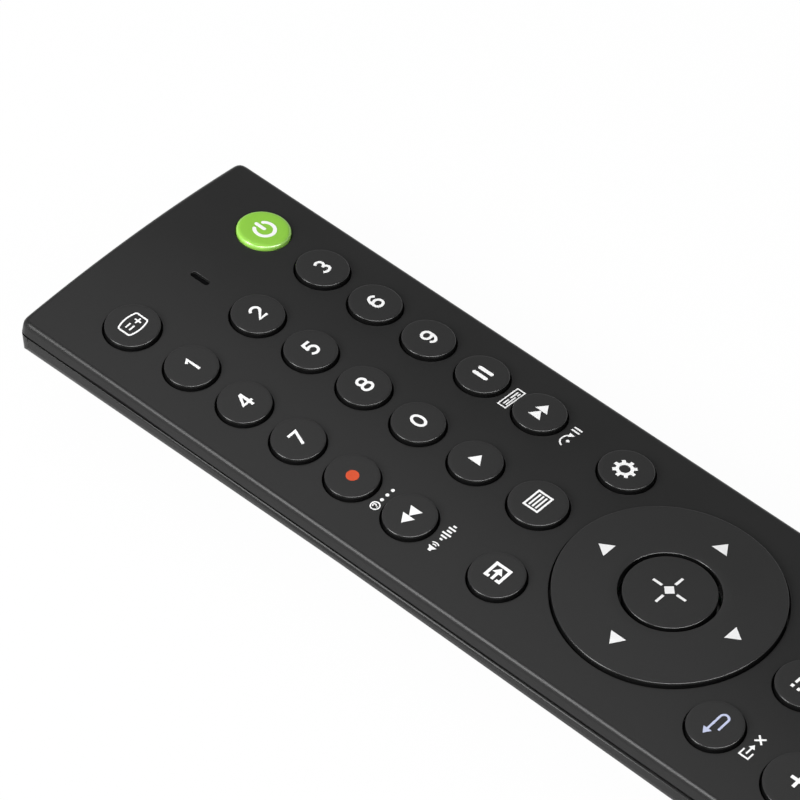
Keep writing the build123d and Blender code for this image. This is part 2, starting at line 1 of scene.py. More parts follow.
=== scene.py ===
"""Television remote control: fine shells, keys and printed symbols around its CAD frame.

Lengths are metres in the frame's axes: +X to the right-hand key column, +Y to the infrared end and
+Z out of the key side. MM turns a size in millimetres into metres.
"""

import math

import bmesh
import bpy
from mathutils import Matrix, Vector
from mathutils.geometry import delaunay_2d_cdt


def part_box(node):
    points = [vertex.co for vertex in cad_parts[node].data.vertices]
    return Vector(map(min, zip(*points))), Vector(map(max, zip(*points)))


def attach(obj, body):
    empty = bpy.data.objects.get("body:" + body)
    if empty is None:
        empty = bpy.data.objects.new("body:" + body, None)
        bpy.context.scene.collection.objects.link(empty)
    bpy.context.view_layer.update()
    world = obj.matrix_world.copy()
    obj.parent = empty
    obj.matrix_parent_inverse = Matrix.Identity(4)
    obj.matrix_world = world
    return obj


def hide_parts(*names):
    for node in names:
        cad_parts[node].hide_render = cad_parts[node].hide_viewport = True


bl_info = {
    "name": "Remote Control Maker",
    "version": (1, 0, 0),
    "blender": (4, 5, 0),
    "location": "View3D > Sidebar > Remote",
    "description": "Builds the shells, keys and printed symbols of a television remote control",
    "category": "Object",
}

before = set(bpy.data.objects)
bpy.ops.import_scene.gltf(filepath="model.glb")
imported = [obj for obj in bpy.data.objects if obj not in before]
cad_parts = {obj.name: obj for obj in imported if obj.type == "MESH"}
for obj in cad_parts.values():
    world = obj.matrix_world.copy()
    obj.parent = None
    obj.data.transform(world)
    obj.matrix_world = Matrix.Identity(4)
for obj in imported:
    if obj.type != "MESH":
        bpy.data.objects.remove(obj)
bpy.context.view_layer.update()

# Fixed sizes of the moulding, which the frame's nodes share
MM = 0.001
CROWN_RADIUS = 200 * MM
SIDE_BAND = 2.45 * MM
SPREAD = 0.25 * MM
CORNER = 2.0 * MM
WING_REACH = 0.8 * MM
LIP_REBATE = 0.8 * MM
REBATE_HEIGHT = 1.3 * MM
SEAM_GAP = 0.2 * MM
CASE_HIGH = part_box("upper_case")[1]
CASE_TOP = CASE_HIGH.z
HALF_WIDTH = CASE_HIGH.x - SPREAD
HALF_LENGTH = CASE_HIGH.y - SPREAD
EDGE_TOP = CASE_TOP - CROWN_RADIUS + math.sqrt(CROWN_RADIUS**2 - HALF_WIDTH**2)
SEAM_Z = EDGE_TOP - SIDE_BAND
KEY_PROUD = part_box("key_ok")[1].z - CASE_TOP

BLACK_KEYS = [f"key_{digit}" for digit in range(10)] + [
    "key_screen_info", "key_record", "key_pause", "key_rewind", "key_play", "key_forward", "key_list",
    "key_input", "key_settings", "key_ok", "key_back", "key_home", "key_menu", "key_mute", "key_guide",
]
COLOURED_KEYS = ["key_red", "key_green", "key_yellow", "key_blue"]
ROCKER_KEYS = ["key_volume", "key_channel"]

# The corners of the case are squarer than a circle, whose power is 2
CORNER_POWER = 3.4

# Points this close are one: on a mesh, and in a flat drawing in millimetres
MERGE = 0.002 * MM
LEAST_MM = 1e-4
NO_BORE = 0.001 * MM
SHARP_ANGLE = math.radians(32)
CIRCLE_STEPS = 72
WIDE_STEPS = 160
KEY_GRAIN = 5200.0
# Mask of a key's sides, for their polish and for the painted light in their colour
SIDE_POLISH_AND_PAINT_MASK = "side"
WAYS = ((1, 0), (0, 1), (-1, 0), (0, -1))


def srgb(red, green, blue):
    """Linear colour of an 8-bit display colour."""
    def channel(value):
        value /= 255
        return value / 12.92 if value <= 0.04045 else ((value + 0.055) / 1.055) ** 2.4

    return (channel(red), channel(green), channel(blue))


def length(name, description, millimetres):
    """Length property with its default in millimetres."""
    return bpy.props.FloatProperty(
        name=name, description=description, default=millimetres * MM, unit="LENGTH", precision=5
    )


def amount(name, description, default, **limits):
    """Property for a number, with its unit or limits."""
    return bpy.props.FloatProperty(name=name, description=description, default=default, **limits)


def colour(name, description, red, green, blue):
    """Colour property with its default as a display colour."""
    return bpy.props.FloatVectorProperty(
        name=name, description=description, default=srgb(red, green, blue), subtype="COLOR", min=0.0, max=1.0
    )


class RemoteCaseSettings(bpy.types.PropertyGroup):
    """Sizes and colour of the two case halves."""

    wall: length("Wall", "Thickness of the case wall", 1.6)
    edge_round: length("Edge round", "Radius of the long top edges", 0.85)
    hole_round: length("Hole round", "Radius of the edge round each key hole", 0.12)
    hole_gap: length("Hole gap", "Gap between a key and its hole", 0.28)
    power_gap: length("Power gap", "Gap between the power key and its hole", 0.12)
    foot_break: length("Foot break", "Broken edge of the upper case at the seam", 0.08)
    foot_lift: length("Foot lift", "Height of the upper case's foot over its seam line", 0.1)
    slit_lift: length("Slit lift", "Further height of the foot over the slits near the infrared end", 0.3)
    cell: length("Cell", "Spacing of the mesh across the crowned top", 2.2)
    slot_length: length("Slot length", "Length of the indicator slot", 3.6)
    slot_width: length("Slot width", "Width of the indicator slot", 1.1)
    plastic: colour("Plastic", "Colour of the case", 30, 30, 30)


class RemoteKeySettings(bpy.types.PropertyGroup):
    """Sizes and colours of the keys."""

    rim: length("Rim", "Radius of a key's top edge", 0.2)
    power_rim: length("Power rim", "Radius of the power key's top edge", 1.0)
    flange: length("Flange", "Thickness of the flange under the case wall", 0.7)
    plastic: colour("Plastic", "Colour of the black keys", 38, 38, 38)
    # Painted shade: the black keys' sides are the same plastic as their tops, given a darker colour
    shaded_side: colour("Painted side shade", "Colour of the polished sides of the black keys", 17, 17, 17)
    power: colour("Power", "Colour of the power key", 128, 186, 52)
    # Painted highlight: the power key's rim and side are the same plastic as its top, given a lighter colour
    power_painted_highlight: colour("Power painted highlight", "Colour of the power key's rim and side", 152, 212, 84)
    red: colour("Red", "Colour of the red key", 190, 38, 36)
    green: colour("Green", "Colour of the green key", 42, 138, 66)
    yellow: colour("Yellow", "Colour of the yellow key", 226, 186, 44)
    blue: colour("Blue", "Colour of the blue key", 36, 84, 176)


class RemotePrintSettings(bpy.types.PropertyGroup):
    """Sizes and colours of the printed symbols."""

    film: length("Film", "Height of the ink over its surface", 0.02)
    sunk: length("Sunk", "Depth of the ink under its surface", 0.05)
    digit_width: length("Digit width", "Width of a digit between its stroke centres", 1.78)
    digit_height: length("Digit height", "Height of a digit between its stroke centres", 2.42)
    digit_stroke: length("Digit stroke", "Thickness of a digit's strokes", 0.46)
    white: colour("White", "Colour of the white ink", 232, 232, 232)
    grey: colour("Grey", "Colour of the marks on the ring and in it", 218, 218, 218)
    violet: colour("Violet", "Colour of the symbol on the back key", 176, 182, 208)
    orange: colour("Orange", "Colour of the record dot", 192, 70, 34)


class RemoteStageSettings(bpy.types.PropertyGroup):
    """Camera and light of the picture."""

    azimuth: amount("Azimuth", "Heading of the view from +Y to +X", math.radians(51.07), subtype="ANGLE")
    elevation: amount("Elevation", "Downward tilt of the view", math.radians(45.92), subtype="ANGLE")
    roll: amount("Roll", "Turn of the picture", math.radians(3.84), subtype="ANGLE")
    lens: amount("Lens", "Focal length in millimetres", 256.4, min=1.0)
    distance: length("Distance", "Distance of the camera from its target", 853.4)
    target: bpy.props.FloatVectorProperty(
        name="Target", description="Point at the picture's middle",
        default=(1.84 * MM, 41.62 * MM, 19.24 * MM), subtype="TRANSLATION", precision=5,
    )
    edge_light: amount("Edge light", "Power of the softbox beside the left edge", 10.5, subtype="POWER")
    front_light: amount("Front light", "Power of the long softbox by the camera", 6.0, subtype="POWER")
    top_light: amount("Top light", "Power of the softbox overhead", 1.5, subtype="POWER")
    rim_light: amount("Rim light", "Power of the softbox that shows only in gloss", 22.0, subtype="POWER")
    sky: amount("Sky", "Strength of the even light from all sides", 0.3, min=0.0)
    floor: colour("Floor", "Colour of the floor", 228, 228, 228)


# Meshes


def crown(x, out=0.0):
    """Height of the crowned top at x, moved out by out."""
    return CASE_TOP - CROWN_RADIUS + math.sqrt((CROWN_RADIUS + out) ** 2 - x * x)


def key_top(x):
    """Height of a key's top at x."""
    return crown(x, KEY_PROUD)


def contains(shape, point):
    """Whether a point lies inside a closed shape."""
    inside = False
    for a, b in zip(shape, list(shape[1:]) + [shape[0]]):
        if (a[1] > point.y) != (b[1] > point.y):
            if point.x < (b[0] - a[0]) * (point.y - a[1]) / (b[1] - a[1]) + a[0]:
                inside = not inside
    return inside


def triangulate(loops, inner=()):
    """Points and faces between closed loops and round inner points, all in millimetres."""
    flat, edges = [], []
    for points in loops:
        first = len(flat)
        flat += [Vector((p[0], p[1])) for p in points]
        edges += [(first + i, first + (i + 1) % len(points)) for i in range(len(points))]
    points, _, faces, _, _, _ = delaunay_2d_cdt(flat + list(inner), edges, [], 0, LEAST_MM)
    return points, faces


class Body:
    """Points and faces of a mesh that is being made."""

    def __init__(self):
        self.points = []
        self.faces = []

    def add(self, points):
        """Adds points and returns their numbers."""
        first = len(self.points)
        self.points.extend(points)
        return list(range(first, len(self.points)))

    def rings(self, rings):
        """Joins closed rings of points with quads, one ring after the other."""
        numbers = [self.add(ring) for ring in rings]
        for first, second in zip(numbers, numbers[1:]):
            for i in range(len(first)):
                j = (i + 1) % len(first)
                self.faces.append((first[i], first[j], second[j], second[i]))

    def sheet(self, outline, holes, height, cell, keep_off):
        """Fills between an outline and the rims of holes, with a grid of points inside it."""
        half_x, half_y = max(p[0] for p in outline), max(p[1] for p in outline)
        rows, columns = int(half_y / cell), int(half_x / cell)
        inner = []
        for row in range(-rows, rows + 1):
            for column in range(-columns, columns + 1):
                x, y = column * half_x / (columns + 0.5), row * half_y / (rows + 0.5)
                inside = abs(x) < half_x - keep_off and abs(y) < half_y - keep_off
                if inside and all(hole.distance(x, y) > keep_off for _, hole in holes):
                    inner.append(Vector((x, y)) / MM)
        loops = [outline] + [rim for rim, _ in holes]
        points, faces = triangulate([[Vector(p[:2]) / MM for p in loop] for loop in loops], inner)
        numbers = self.add([(p.x * MM, p.y * MM, height(p.x * MM)) for p in points])
        for face in faces:
            middle = sum((points[i] for i in face), Vector((0, 0))) * (MM / len(face))
            near = [rim for rim, hole in holes if hole.distance(middle.x, middle.y) < keep_off]
            in_hole = any(contains(rim, middle) for rim in near)
            if contains(outline, middle) and not in_hole:
                self.faces.append(tuple(numbers[i] for i in face))


class Hole:
    """Upright hole in the crowned top: round, or long with round ends."""

    def __init__(self, x, y, radius, straight=0.0, steps=CIRCLE_STEPS):
        self.x, self.y, self.radius, self.straight, self.steps = x, y, radius, straight, steps

    def distance(self, x, y):
        """How far a point is outside the hole."""
        beyond = max(abs(y - self.y) - self.straight, 0.0)
        return math.hypot(x - self.x, beyond) - self.radius

    def loop(self, out, height):
        """Ring of points round the hole, moved out by out, at height(x)."""
        ring = []
        for step in range(self.steps):
            angle = 2 * math.pi * (step + 0.5) / self.steps
            x = self.x + (self.radius + out) * math.cos(angle)
            y = self.y + math.copysign(self.straight, math.sin(angle)) + (self.radius + out) * math.sin(angle)
            ring.append((x, y, height(x)))
        return ring


def case_outline(corner_steps, side_step):
    """Anchors and directions of the case outline: a point is its anchor plus its direction times a radius."""
    core_x, core_y = HALF_WIDTH - CORNER, HALF_LENGTH - CORNER
    corners = [(core_x, core_y), (-core_x, core_y), (-core_x, -core_y), (core_x, -core_y)]
    outline = []
    for quarter, (x, y) in enumerate(corners):
        for step in range(corner_steps + 1):
            angle = math.pi / 2 * (quarter + step / corner_steps)
            outline.append((x, y, math.cos(angle), math.sin(angle)))
        after = corners[(quarter + 1) % 4]
        divisions = round(math.dist((x, y), after) / side_step)
        direction = outline[-1][2:]
        for step in range(1, divisions):
            share = step / divisions
            outline.append((x + share * (after[0] - x), y + share * (after[1] - y), *direction))
    return outline


def lean(z):
    """How far the side wall stands out at a height because of its draft."""
    return SPREAD * (EDGE_TOP - z) / SIDE_BAND


def squared(ux, uy):
    """Factor that moves a point of a round corner, in a direction from its centre, out to a squarer one."""
    return (abs(ux) ** CORNER_POWER + abs(uy) ** CORNER_POWER) ** (-1 / CORNER_POWER)


def wall_ring(outline, out, height, drop=0.0):
    """Ring of points on the drafted side wall, at height(x) less drop."""
    ring = []
    for x, y, ux, uy in outline:
        z = height(x + ux * (CORNER + out)) - drop
        reach = (CORNER + out + lean(z)) * squared(ux, uy)
        ring.append((x + ux * reach, y + uy * reach, height(x + ux * reach) - drop))
    return ring


def rounding(radius, steps):
    """Inset and drop of each step round a quarter circle, from the top face to the wall."""
    angles = [math.pi / 2 * step / steps for step in range(steps + 1)]
    return [(radius * (1 - math.sin(a)), radius * (1 - math.cos(a))) for a in angles]


def tidy_mesh(mesh):
    """Merges doubles and turns every face outwards."""
    work = bmesh.new()
    work.from_mesh(mesh)
    bmesh.ops.remove_doubles(work, verts=work.verts, dist=MERGE)
    bmesh.ops.recalc_face_normals(work, faces=work.faces)
    work.to_mesh(mesh)
    work.free()


def bake(piece):
    """Applies a piece's modifiers to its mesh."""
    evaluated = piece.evaluated_get(bpy.context.evaluated_depsgraph_get())
    mesh = bpy.data.meshes.new_from_object(evaluated)
    piece.modifiers.clear()
    piece.data = mesh


def piece_from(mesh, name):
    """New object for a mesh, in the scene."""
    piece = bpy.data.objects.new(name, mesh)
    bpy.context.scene.collection.objects.link(piece)
    return piece


def piece_of(body, name):
    """New closed object from a body, merged and with its faces outwards."""
    mesh = bpy.data.meshes.new(name)
    mesh.from_pydata(body.points, [], body.faces)
    tidy_mesh(mesh)
    return piece_from(mesh, name)


def smooth(piece, angle=SHARP_ANGLE):
    """Smooth shading that keeps large faces flat and edges past the angle sharp."""
    piece.data.shade_smooth()
    piece.data.set_sharp_from_angle(angle=angle)
    weighted = piece.modifiers.new("Weighted normals", "WEIGHTED_NORMAL")
    weighted.keep_sharp = True
    weighted.weight = 50
    bake(piece)


def settle(piece, body, slot, finish, *nodes):
    """Gives a finished piece its material and body, and hides the nodes it stands for; slot is not used."""
    piece.data.materials.clear()
    piece.data.materials.append(finish)
    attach(piece, body)
    if nodes:
        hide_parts(*nodes)
    return piece


# Materials


def node(tree, kind, inputs=None, **settings):
    """Adds a shader or geometry node, sets it up and feeds its inputs with values or links."""
    made = tree.nodes.new(kind)
    for key, value in settings.items():
        setattr(made, key, value)
    for key, value in (inputs or {}).items():
        socket = made.inputs[key]
        if isinstance(value, bpy.types.NodeSocket):
            tree.links.new(value, socket)
        else:
            socket.default_value = value
    return made


def maths(tree, operation, *values):
    """Output of a maths node."""
    return node(tree, "ShaderNodeMath", dict(enumerate(values)), operation=operation).outputs[0]


def new_tree(name, kind, inputs, outputs):
    """New node tree with named sockets, and the sockets of its input and output nodes."""
    tree = bpy.data.node_groups.new(name, kind)
    for key, (socket, default) in inputs.items():
        made = tree.interface.new_socket(key, in_out="INPUT", socket_type="NodeSocket" + socket)
        if default is not None:
            made.default_value = default
    for key, socket in outputs.items():
        tree.interface.new_socket(key, in_out="OUTPUT", socket_type="NodeSocket" + socket)
    return tree, tree.nodes.new("NodeGroupInput").outputs, tree.nodes.new("NodeGroupOutput").inputs


def moulded_group():
    """Node group for a moulded surface: a spark grain and slow changes in tone and gloss."""
    group = bpy.data.node_groups.get("Moulded surface")
    if group:
        return group
    inputs = {
        "Colour": ("Color", None), "Roughness": ("Float", 0.5), "Grain": ("Float", 4000.0), "Patch": ("Float", 90.0),
        "Variation": ("Float", 0.1),
    }
    outputs = {"Colour": "Color", "Roughness": "Float", "Height": "Float"}
    group, given, out = new_tree("Moulded surface", "ShaderNodeTree", inputs, outputs)
    place = node(group, "ShaderNodeTexCoord").outputs["Object"]
    grain = node(group, "ShaderNodeTexNoise", {"Vector": place, "Scale": given["Grain"], "Detail": 2.0})
    patch = node(group, "ShaderNodeTexNoise", {"Vector": place, "Scale": given["Patch"], "Detail": 3.0})
    swing = maths(group, "MULTIPLY", maths(group, "SUBTRACT", patch.outputs["Fac"], 0.5), given["Variation"])
    speck = maths(group, "MULTIPLY", maths(group, "SUBTRACT", grain.outputs["Fac"], 0.5), given["Variation"])
    tone = maths(group, "ADD", maths(group, "ADD", swing, speck), 1.0)
    tinted = node(group, "ShaderNodeVectorMath", {0: given["Colour"]}, operation="SCALE")
    group.links.new(tone, tinted.inputs["Scale"])
    gloss_share = 0.6
    gloss = maths(group, "ADD", given["Roughness"], maths(group, "MULTIPLY", swing, gloss_share))
    group.links.new(tinted.outputs[0], out["Colour"])
    group.links.new(gloss, out["Roughness"])
    group.links.new(grain.outputs["Fac"], out["Height"])
    return group


def polished_painted_sides_group():
    """Node group for a key's sides: a colour of painted light (painted shade on the black keys, a painted highlight on
    the power key), a smoother surface and a clear coat.
    """
    group = bpy.data.node_groups.get("Polished sides with painted light")
    if group:
        return group
    inputs = {
        "Colour": ("Color", None), "Side Painted Light": ("Color", None), "Roughness": ("Float", 0.4),
        "Side Roughness": ("Float", 0.22), "Side Coat": ("Float", 0.8),
    }
    outputs = {"Colour": "Color", "Roughness": "Float", "Coat": "Float"}
    group, given, out = new_tree("Polished sides with painted light", "ShaderNodeTree", inputs, outputs)
    side = node(group, "ShaderNodeAttribute", attribute_name=SIDE_POLISH_AND_PAINT_MASK).outputs["Fac"]
    # The sides' colour is painted light: painted shade on the black keys, a painted highlight on the power key
    tone = node(group, "ShaderNodeMix", {0: side, 6: given["Colour"], 7: given["Side Painted Light"]}, data_type="RGBA")
    gloss = node(group, "ShaderNodeMix", {0: side, 2: given["Roughness"], 3: given["Side Roughness"]})
    group.links.new(tone.outputs[2], out["Colour"])
    group.links.new(gloss.outputs[0], out["Roughness"])
    group.links.new(maths(group, "MULTIPLY", side, given["Side Coat"]), out["Coat"])
    return group


def plastic(
    name, tint, roughness=0.5, grain=4000.0, depth=0.004, variation=0.12, level=0.5, side=None, coat=0.0, **shader
):
    """Moulded plastic, rubber, ink or metal with a grain of a depth in millimetres; side is a key's side colour, which
    is painted shade on the black keys and a painted highlight on the power key.
    """
    made = bpy.data.materials.get(name + "_finish")
    if made:
        return made
    made = bpy.data.materials.new(name + "_finish")
    made.use_nodes = True
    tree = made.node_tree
    surface = tree.nodes["Principled BSDF"].inputs
    given = {"Colour": (*tint, 1.0), "Roughness": roughness, "Grain": grain, "Variation": variation}
    look = node(tree, "ShaderNodeGroup", given, node_tree=moulded_group()).outputs
    bump = node(tree, "ShaderNodeBump", {"Height": look["Height"], "Distance": depth * MM})
    tree.links.new(bump.outputs["Normal"], surface["Normal"])
    # A key's side colour is painted light, mixed in over its polished sides
    if side is not None:
        given = {"Colour": look["Colour"], "Roughness": look["Roughness"]}
        given.update({"Side Painted Light": (*side, 1.0), "Side Coat": coat})
        look = node(tree, "ShaderNodeGroup", given, node_tree=polished_painted_sides_group()).outputs
        tree.links.new(look["Coat"], surface["Coat Weight"])
        surface["Coat Roughness"].default_value = 0.25
    tree.links.new(look["Colour"], surface["Base Color"])
    tree.links.new(look["Roughness"], surface["Roughness"])
    surface["Specular IOR Level"].default_value = level
    for key, value in shader.items():
        surface[key].default_value = value
    made.diffuse_color = (*tint, 1.0)
    return made


def case_plastic():
    """Matt black plastic of the case, with a spark-eroded texture."""
    tint = bpy.context.scene.remote_case.plastic
    return plastic("case_black", tint, roughness=0.32, grain=3600.0, depth=0.0015, level=0.2)


def key_plastic(slot, tint, side=None, **looks):
    """Satin plastic of a key, which may have polished sides whose other colour is painted light: painted shade on the
    black keys, a painted highlight on the power key.
    """
    return plastic(slot, tint, grain=KEY_GRAIN, side=side, **looks)


def black_plastic():
    """Black plastic of the keys: satin on top and polished down the sides, whose darker colour is painted shade."""
    keys = bpy.context.scene.remote_keys
    return key_plastic("key_black", keys.plastic, keys.shaded_side, roughness=0.4, depth=0.0015, level=0.16, coat=0.8)


def ink(name, tint):
    """Printed ink."""
    return plastic(name, tint, roughness=0.55, grain=6000.0, depth=0.002, variation=0.05, level=0.3)


# Key caps


def key_cap_tree():
    """Geometry Nodes tree for a key cap: a section swept round its axis and bent to the crown."""
    tree = bpy.data.node_groups.get("Key cap")
    if tree:
        return tree
    names = [
        "Centre X", "Centre Y", "Radius", "Straight", "Bore", "Hollow", "Bottom", "Plate Bottom",
        "Flange Top", "Flange Reach", "Top", "Rim", "Bore Rim", "Crown Radius",
    ]
    inputs = {name: ("Float", 0.0) for name in names}
    inputs.update({"Steps": ("Int", CIRCLE_STEPS), "Material": ("Material", None)})
    tree, given, out = new_tree("Key cap", "GeometryNodeTree", inputs, {"Geometry": "Geometry"})

    def work(operation, *values):
        return maths(tree, operation, *values)

    index = node(tree, "GeometryNodeInputIndex").outputs[0]

    # Section of the cap, as distance from the axis and depth under the top; the sweep turns depth downwards
    sweep_radius, least_bore = 1.0 * MM, 0.1 * MM
    outer = work("ADD", given["Radius"], given["Flange Reach"])
    corners = [
        (given["Bore"], given["Plate Bottom"]), (given["Hollow"], given["Plate Bottom"]),
        (given["Hollow"], given["Bottom"]), (outer, given["Bottom"]), (outer, given["Flange Top"]),
        (given["Radius"], given["Flange Top"]), (given["Radius"], given["Top"]), (given["Bore"], given["Top"]),
    ]
    choose = node(tree, "GeometryNodeIndexSwitch", {}, data_type="VECTOR")
    for _ in range(len(corners) - 2):
        choose.index_switch_items.new()
    tree.links.new(index, choose.inputs["Index"])
    for item, (radius, height) in enumerate(corners):
        across = work("SUBTRACT", radius, sweep_radius)
        down = work("SUBTRACT", given["Top"], height)
        corner = node(tree, "ShaderNodeCombineXYZ", {"X": across, "Y": down})
        tree.links.new(corner.outputs[0], choose.inputs[1 + item])
    line = node(tree, "GeometryNodeMeshLine", {"Count": len(corners)})
    placed = node(tree, "GeometryNodeSetPosition", {"Geometry": line.outputs[0], "Position": choose.outputs[0]})
    section = node(tree, "GeometryNodeMeshToCurve", {"Mesh": placed.outputs[0]})
    hollow = work("GREATER_THAN", given["Bore"], least_bore)
    closed = node(tree, "GeometryNodeSetSplineCyclic", {"Geometry": section.outputs[0], "Cyclic": hollow})

    # The top is divided so that its shading stays flat; then the two upper corners are rounded
    top_cuts, rim_cuts, top_corner = 5, 5, len(corners) - 2
    on_top = node(tree, "FunctionNodeCompare", {2: index, 3: top_corner}, data_type="INT", operation="EQUAL")
    cuts = work("MULTIPLY", on_top.outputs[0], float(top_cuts))
    divided = node(tree, "GeometryNodeSubdivideCurve", {"Curve": closed.outputs[0], "Cuts": cuts})
    bore_corner = top_corner + top_cuts + 1
    last = node(tree, "FunctionNodeCompare", {2: index, 3: bore_corner}, data_type="INT", operation="EQUAL")
    rim = work("MULTIPLY", on_top.outputs[0], given["Rim"])
    radius = work("ADD", rim, work("MULTIPLY", last.outputs[0], given["Bore Rim"]))
    rounded = node(tree, "GeometryNodeFilletCurve", {"Curve": divided.outputs[0], "Radius": radius}, mode="POLY")
    rounded.inputs["Count"].default_value = rim_cuts
    rounded.inputs["Limit Radius"].default_value = True

    path = node(tree, "GeometryNodeCurvePrimitiveCircle", {"Resolution": given["Steps"], "Radius": sweep_radius})
    sweep = {"Curve": path.outputs[0], "Profile Curve": rounded.outputs[0]}
    swept = node(tree, "GeometryNodeCurveToMesh", sweep)

    # Long caps: each half moves out along Y; then everything moves to its place under the crown
    position = node(tree, "ShaderNodeSeparateXYZ", {0: node(tree, "GeometryNodeInputPosition").outputs[0]}).outputs
    side = work("SIGN", position["Y"])
    x = work("ADD", position["X"], given["Centre X"])
    y = work("ADD", work("MULTIPLY_ADD", side, given["Straight"], position["Y"]), given["Centre Y"])
    square = work("MULTIPLY", given["Crown Radius"], given["Crown Radius"])
    chord = work("SQRT", work("SUBTRACT", square, work("MULTIPLY", x, x)))
    sag = work("SUBTRACT", chord, given["Crown Radius"])
    height = work("SUBTRACT", given["Top"], given["Bottom"])
    share = work("DIVIDE", work("ADD", position["Z"], height), height)
    share.node.use_clamp = True
    z = work("ADD", work("ADD", position["Z"], given["Top"]), work("MULTIPLY", sag, share))
    there = node(tree, "ShaderNodeCombineXYZ", {"X": x, "Y": y, "Z": z})
    bent = node(tree, "GeometryNodeSetPosition", {"Geometry": swept.outputs[0], "Position": there.outputs[0]})
    merged = node(tree, "GeometryNodeMergeByDistance", {"Geometry": bent.outputs[0], "Distance": MERGE})
    real = node(tree, "GeometryNodeRealizeInstances", {"Geometry": merged.outputs[0]})
    finish = node(tree, "GeometryNodeSetMaterial", {"Geometry": real.outputs[0], "Material": given["Material"]})
    tree.links.new(finish.outputs[0], out["Geometry"])
    return tree


def key_cap(key, slot, finish, bottom, sizes):
    """Key cap made by the key cap tree with its usual sizes and the given ones, in place of its CAD node."""
    cap = piece_from(bpy.data.meshes.new("cap_" + key), "cap_" + key)
    tree = key_cap_tree()
    modifier = cap.modifiers.new("Key cap", "NODES")
    modifier.node_group = tree
    x, y, radius, _ = key_place(key)
    sizes = {
        "Centre X": x, "Centre Y": y, "Radius": radius, "Bore": NO_BORE, "Hollow": NO_BORE, "Bottom": bottom,
        "Plate Bottom": bottom, "Flange Reach": WING_REACH, "Rim": bpy.context.scene.remote_keys.rim,
        "Crown Radius": CROWN_RADIUS + KEY_PROUD, "Top": CASE_TOP + KEY_PROUD, "Material": finish, **sizes,
    }
    for socket in tree.interface.items_tree:
        if socket.in_out == "INPUT" and socket.name in sizes:
            modifier[socket.identifier] = sizes[socket.name]
    bake(cap)
    tidy_mesh(cap.data)
    smooth(cap)
    mask_sides(cap.data, sizes["Rim"])
    return settle(cap, key, slot, finish, key)


def mask_sides(mesh, rim):
    """Point mask that is zero on a key's top and rises to one a little way round its rim."""
    mask = mesh.attributes.new(SIDE_POLISH_AND_PAINT_MASK, "FLOAT", "POINT")
    depths = [key_top(point.co.x) - point.co.z for point in mesh.vertices]
    fade = rim / 3
    mask.data.foreach_set("value", [min(max(depth / fade, 0.0), 1.0) for depth in depths])


def key_place(node_name):
    """Centre, radius and half straight length of a key, read from its CAD node."""
    low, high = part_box(node_name)
    centre = (low + high) / 2
    across = (high.x - low.x) / 2 - WING_REACH
    along = (high.y - low.y) / 2
    if node_name == "key_navigation":
        along -= WING_REACH
    return centre.x, centre.y, across, max(along - across, 0.0)


def key_holes(sizes):
    """Every hole in the crowned top for a key."""
    names = BLACK_KEYS + COLOURED_KEYS + ROCKER_KEYS + ["key_power", "key_navigation"]
    names.remove("key_ok")
    holes = []
    for name in names:
        x, y, radius, straight = key_place(name)
        steps = WIDE_STEPS if name == "key_navigation" else CIRCLE_STEPS
        straight = straight if name in ROCKER_KEYS else 0.0
        gap = sizes.power_gap if name == "key_power" else sizes.hole_gap
        holes.append(Hole(x, y, radius + gap, straight, steps))
    return holes


